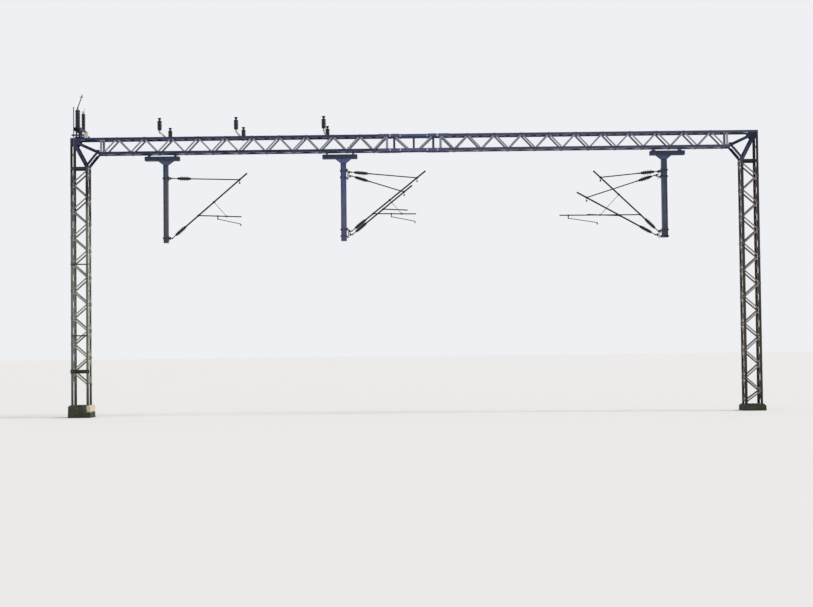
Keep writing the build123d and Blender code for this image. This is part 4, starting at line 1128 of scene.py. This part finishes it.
def swivel_insulator(glaze_mesh, metal_mesh, pivot, target, side, rod_length, tube_start):
    """An eye on the pin, a knuckle, a rod, porcelain between two caps, then a socket."""
    knuckle = pivot + Vector((side * KNUCKLE_REACH, 0, 0))
    along = (target - knuckle).normalized()
    ring(metal_mesh, pivot, UP, EYE_RADIUS, PIN_BORE, EYE_HEIGHT)
    rod(metal_mesh, pivot + Vector((side * (PIN_BORE + STUB_INSET), 0, 0)), knuckle, STUB_RADIUS)
    half = Vector((0, KNUCKLE_WIDTH / 2, 0))
    rod(metal_mesh, knuckle - half, knuckle + half, KNUCKLE_RADIUS, FINE_SIDES)
    nut = Vector((0, KNUCKLE_WIDTH / 2 + NUT_REACH, 0))
    rod(metal_mesh, knuckle - nut, knuckle + nut, NUT_RADIUS, HEXAGON)

    sheds_start = rod_length + CAP_LENGTH
    sheds_end = sheds_start + SHED_COUNT * SHED_PITCH
    cap_end = sheds_end + CAP_LENGTH
    near_cap = [(0, STUB_RADIUS)]
    near_cap += [(rod_length + past, radius) for past, radius in ROD_COLLAR]
    near_cap += [(sheds_start - past, radius) for past, radius in CAP_SKIRT]
    far_cap = [(sheds_end + past, radius) for past, radius in reversed(CAP_SKIRT)]
    far_cap += [(cap_end + past, radius) for past, radius in CAP_END]
    lathe(metal_mesh, knuckle, along, near_cap)
    lathe(metal_mesh, knuckle, along, far_cap)
    outline = sheds(sheds_start, SHED_COUNT, SHED_PITCH, CORE_RADIUS, SHED_RIMS, THIN_SHED)
    lathe(glaze_mesh, knuckle, along, outline)
    if tube_start - sheds_end - CAP_LENGTH > SHORTEST_SOCKET:
        socket_start = knuckle + along * (cap_end - SOCKET_INTO_CAP)
        socket_end = knuckle + along * (tube_start + SOCKET_OVER_TUBE)
        rod(metal_mesh, socket_start, socket_end, SOCKET_RADIUS)
    return knuckle + along * tube_start, along


pivots = {joint["child"]: Vector(joint["pos_m"]) for joint in frame["joints"]}

for name, row in CANTILEVERS.items():
    glaze_mesh = bmesh.new()
    glaze_mesh.verts.layers.float.new("radius")
    metal_mesh = bmesh.new()
    pivot = pivots[name]
    side = row["side"]
    centre = arm_centres[row["arm"]]
    tip = Vector((centre + side * row["tip"][0], pivot.y, row["tip"][1]))
    stay_rod, bracket_rod = row["rods"]
    tube_start, tube_along = swivel_insulator(
        glaze_mesh, metal_mesh, pivot, tip, side, bracket_rod, BRACKET_TUBE_START
    )
    stay_x = centre + side * row["stay"]
    stay_end = tube_start + tube_along * ((stay_x - tube_start.x) / tube_along.x)
    upper = Vector((pivot.x, pivot.y, row["upper"]))
    swivel_insulator(glaze_mesh, metal_mesh, upper, stay_end, side, stay_rod, STAY_TUBE_START)
    sleeves = new_piece(name + "_end_fittings", metal_mesh, [cap_iron], name)
    glazed = new_piece(name + "_porcelain", glaze_mesh, [brown_glaze], name)
    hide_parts(name + "_insulators")
    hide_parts(name + "_insulators")

# Line posts: porcelain on a spindle, with a flared metal cap
LINE_POST_Y = 1.050
POST_SHEDS_START = 0.090
POST_SHEDS = 6
POST_PITCH = 0.248 / POST_SHEDS
POST_CORE = 0.060
POST_RIMS = (0.078, 0.075)
POST_NUT_RADIUS = 0.015
POST_NUT_TOP = Vector((0, 0, 0.006))
POST_NUT_BOTTOM = Vector((0, 0, 0.024))
POST_BASE = (
    (0, 0.026), (0.010, 0.026), (0.010, 0.013), (0.038, 0.013), (0.040, 0.052),
    (0.046, 0.062), (0.082, 0.062), (0.090, 0.059), (0.090, 0.030),
)
POST_CAP = (
    (0, 0.026), (0, 0.036), (0.006, 0.031), (0.022, 0.028), (0.034, 0.031),
    (0.055, 0.044), (0.073, 0.053), (0.077, 0.055), (0.089, 0.055),
)
glaze_mesh = bmesh.new()
metal_mesh = bmesh.new()
neck = POST_SHEDS_START + POST_SHEDS * POST_PITCH
post_cap = [(neck + past, radius) for past, radius in POST_CAP]
post_sheds = sheds(POST_SHEDS_START, POST_SHEDS, POST_PITCH, POST_CORE, POST_RIMS)
for x in LINE_POST_X:
    for y in (-LINE_POST_Y, LINE_POST_Y):
        foot = Vector((x, y, LINE_ARM_TOP))
        lathe(metal_mesh, foot, UP, POST_BASE)
        rod(metal_mesh, foot - POST_NUT_BOTTOM, foot - POST_NUT_TOP, POST_NUT_RADIUS, HEXAGON)
        lathe(metal_mesh, foot, UP, post_cap)
        lathe(glaze_mesh, foot, UP, post_sheds)
post_glaze = new_piece("line_post_porcelain", glaze_mesh, [dark_glaze], "portal")
post_metal = new_piece("line_post_fittings", metal_mesh, [cap_iron], "portal")
for piece, slot_name in ((post_glaze, "porcelain"), (post_metal, "fitting_steel")):
    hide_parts("line_posts")

# Switch posts: two units one on the other, with metal flanges. Each post is (Y, core, rim)
switch_low, switch_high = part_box("isolator_insulators")
SWITCH_POSTS = ((-0.420, 0.066, 0.084), (0.420, 0.050, 0.070))
SWITCH_UNITS = 2
SWITCH_SHEDS = 5
SMALLER_RIM = 0.003
FLANGE_HEIGHT = 0.026
FLANGE_WALL = 0.005
FLANGE_EDGE = 0.002
unit_height = (switch_high.z - switch_low.z) / SWITCH_UNITS
switch_pitch = (unit_height - 2 * FLANGE_HEIGHT) / SWITCH_SHEDS
glaze_mesh = bmesh.new()
metal_mesh = bmesh.new()
for y, core, rim in SWITCH_POSTS:
    flange = core + FLANGE_WALL
    rims = (rim, rim - SMALLER_RIM)
    for unit in range(SWITCH_UNITS):
        foot = Vector((0, y, switch_low.z + unit * unit_height))
        for base in (0.0, unit_height - FLANGE_HEIGHT):
            outline = [
                (base, flange - FLANGE_EDGE),
                (base + FLANGE_EDGE, flange),
                (base + FLANGE_HEIGHT - FLANGE_EDGE, flange),
                (base + FLANGE_HEIGHT, flange - FLANGE_EDGE),
            ]
            lathe(metal_mesh, foot, UP, outline)
        lathe(glaze_mesh, foot, UP, sheds(FLANGE_HEIGHT, SWITCH_SHEDS, switch_pitch, core, rims))
switch_glaze = new_piece("isolator_porcelain", glaze_mesh, [dark_glaze], "portal")
switch_metal = new_piece("isolator_flanges", metal_mesh, [fitting_steel], "portal")
for piece, slot_name in ((switch_glaze, "porcelain"), (switch_metal, "fitting_steel")):
    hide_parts("isolator_insulators")

# Plinths: rough cast blocks with worn edges
TOP_BEVEL = 0.038
LONGEST_EDGE = 0.030
MOST_CUTS = 5
FOOT_KEPT = 0.001
TOP_SKIN = 0.002
SIDE_SINK = 0.010
TOP_SINK = 0.003
TOP_LUMPS = 0.6
PLINTH_SHARP_ANGLE = 50
# Lumps of the cast surface: (how many to a metre, how high)
CAST_LUMPS = ((6.0, 0.008), (23.0, 0.004))


def worn_shift(place, inward, top):
    """How far the worn surface lies inside the plain block: down on top, inwards on the sides."""
    lumps = sum(noise.noise(place * scale) * height for scale, height in CAST_LUMPS)
    if place.z > top - TOP_SKIN:
        return Vector((0, 0, -1)) * max(0.0, TOP_SINK - lumps * TOP_LUMPS)
    return inward.normalized() * (SIDE_SINK - lumps)


def rough_plinth(name):
    low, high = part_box(name)
    middle = (low + high) / 2
    mesh = bmesh.new()
    block(mesh, middle, high - low)
    top_edges = [e for e in mesh.edges if all(abs(v.co.z - high.z) < 1e-6 for v in e.verts)]
    bmesh.ops.bevel(mesh, geom=top_edges, offset=TOP_BEVEL, segments=3, affect="EDGES")
    bmesh.ops.triangulate(mesh, faces=mesh.faces)
    for _ in range(MOST_CUTS):
        long_edges = [e for e in mesh.edges if e.calc_length() > LONGEST_EDGE]
        if not long_edges:
            break
        bmesh.ops.subdivide_edges(mesh, edges=long_edges, cuts=1)
        bmesh.ops.triangulate(mesh, faces=mesh.faces)
    for vert in mesh.verts:
        inward = (middle - vert.co) * Vector((1, 1, 0))
        if vert.co.z > low.z + FOOT_KEPT and inward.length > 0:
            vert.co += worn_shift(vert.co, inward, high.z)
    piece = new_piece(name + "_cast", mesh, [concrete], "portal", PLINTH_SHARP_ANGLE)
    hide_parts(name)


rough_plinth("left_plinth")
rough_plinth("right_plinth")

# Floor, light and camera
FLOOR_HALF = 2500.0
FLOOR_COLOUR = (0.80, 0.79, 0.77, 1)
SKY_SEEN = (0.86, 0.87, 0.90, 1)
SKY_LIGHT = (0.93, 0.95, 1.0, 1)
SKY_LIGHT_STRENGTH = 0.62
SUN_COLOUR = (1.0, 0.97, 0.93)
SUN_STRENGTH = 2.4
SUN_WIDTH = math.radians(14)
SUN_TOWARDS = Vector((-0.85, 0.12, -0.62))


def make_floor():
    mesh = bmesh.new()
    bmesh.ops.create_grid(mesh, x_segments=1, y_segments=1, size=FLOOR_HALF)
    data = bpy.data.meshes.new("floor")
    mesh.to_mesh(data)
    mesh.free()
    floor = bpy.data.objects.new("floor", data)
    bpy.context.scene.collection.objects.link(floor)
    material, _, shader, _ = start_material("pale_floor")
    shader.inputs["Base Color"].default_value = FLOOR_COLOUR
    shader.inputs["Roughness"].default_value = 0.9
    data.materials.append(material)


def make_sky():
    """A sky that the camera and reflections see brighter than it lights."""
    world = bpy.data.worlds.new("studio")
    bpy.context.scene.world = world
    world.use_nodes = True
    tree = world.node_tree
    lighting = tree.nodes["Background"]
    lighting.inputs["Color"].default_value = SKY_LIGHT
    lighting.inputs["Strength"].default_value = SKY_LIGHT_STRENGTH
    seen = tree.nodes.new("ShaderNodeBackground")
    seen.inputs["Color"].default_value = SKY_SEEN
    seen.inputs["Strength"].default_value = 1.0
    path = tree.nodes.new("ShaderNodeLightPath").outputs
    seen_or_glossy = combined(tree, "MAXIMUM", path["Is Camera Ray"], path["Is Glossy Ray"])
    choose = tree.nodes.new("ShaderNodeMixShader")
    link(tree, seen_or_glossy, choose.inputs["Fac"])
    link(tree, lighting.outputs["Background"], choose.inputs[1])
    link(tree, seen.outputs["Background"], choose.inputs[2])
    link(tree, choose.outputs["Shader"], tree.nodes["World Output"].inputs["Surface"])


def make_sun():
    sun_data = bpy.data.lights.new("sun", "SUN")
    sun_data.energy = SUN_STRENGTH
    sun_data.angle = SUN_WIDTH
    sun_data.color = SUN_COLOUR
    sun = bpy.data.objects.new("sun", sun_data)
    bpy.context.scene.collection.objects.link(sun)
    sun.rotation_mode = "QUATERNION"
    sun.rotation_quaternion = SUN_TOWARDS.to_track_quat("-Z", "Y")


def make_camera():
    data = bpy.data.cameras.new("camera")
    data.sensor_width = SENSOR_WIDTH
    data.lens = FOCAL_PIXELS / PHOTO_WIDTH * SENSOR_WIDTH
    data.clip_end = CLIP_END
    camera = bpy.data.objects.new("camera", data)
    bpy.context.scene.collection.objects.link(camera)
    ahead = Vector((math.sin(CAMERA_YAW), math.cos(CAMERA_YAW), 0))
    flat_right = Vector((math.cos(CAMERA_YAW), -math.sin(CAMERA_YAW), 0))
    forward = ahead * math.cos(CAMERA_PITCH) + Vector((0, 0, math.sin(CAMERA_PITCH)))
    flat_up = Vector((0, 0, math.cos(CAMERA_PITCH))) - ahead * math.sin(CAMERA_PITCH)
    right = flat_right * math.cos(CAMERA_ROLL) + flat_up * math.sin(CAMERA_ROLL)
    up = flat_up * math.cos(CAMERA_ROLL) - flat_right * math.sin(CAMERA_ROLL)
    turn = Matrix((right, up, -forward)).transposed()
    camera.matrix_world = Matrix.Translation(CAMERA_PLACE) @ turn.to_4x4()
    bpy.context.scene.camera = camera


make_floor()
make_sky()
make_sun()
make_camera()
bpy.context.scene.view_settings.view_transform = "Standard"
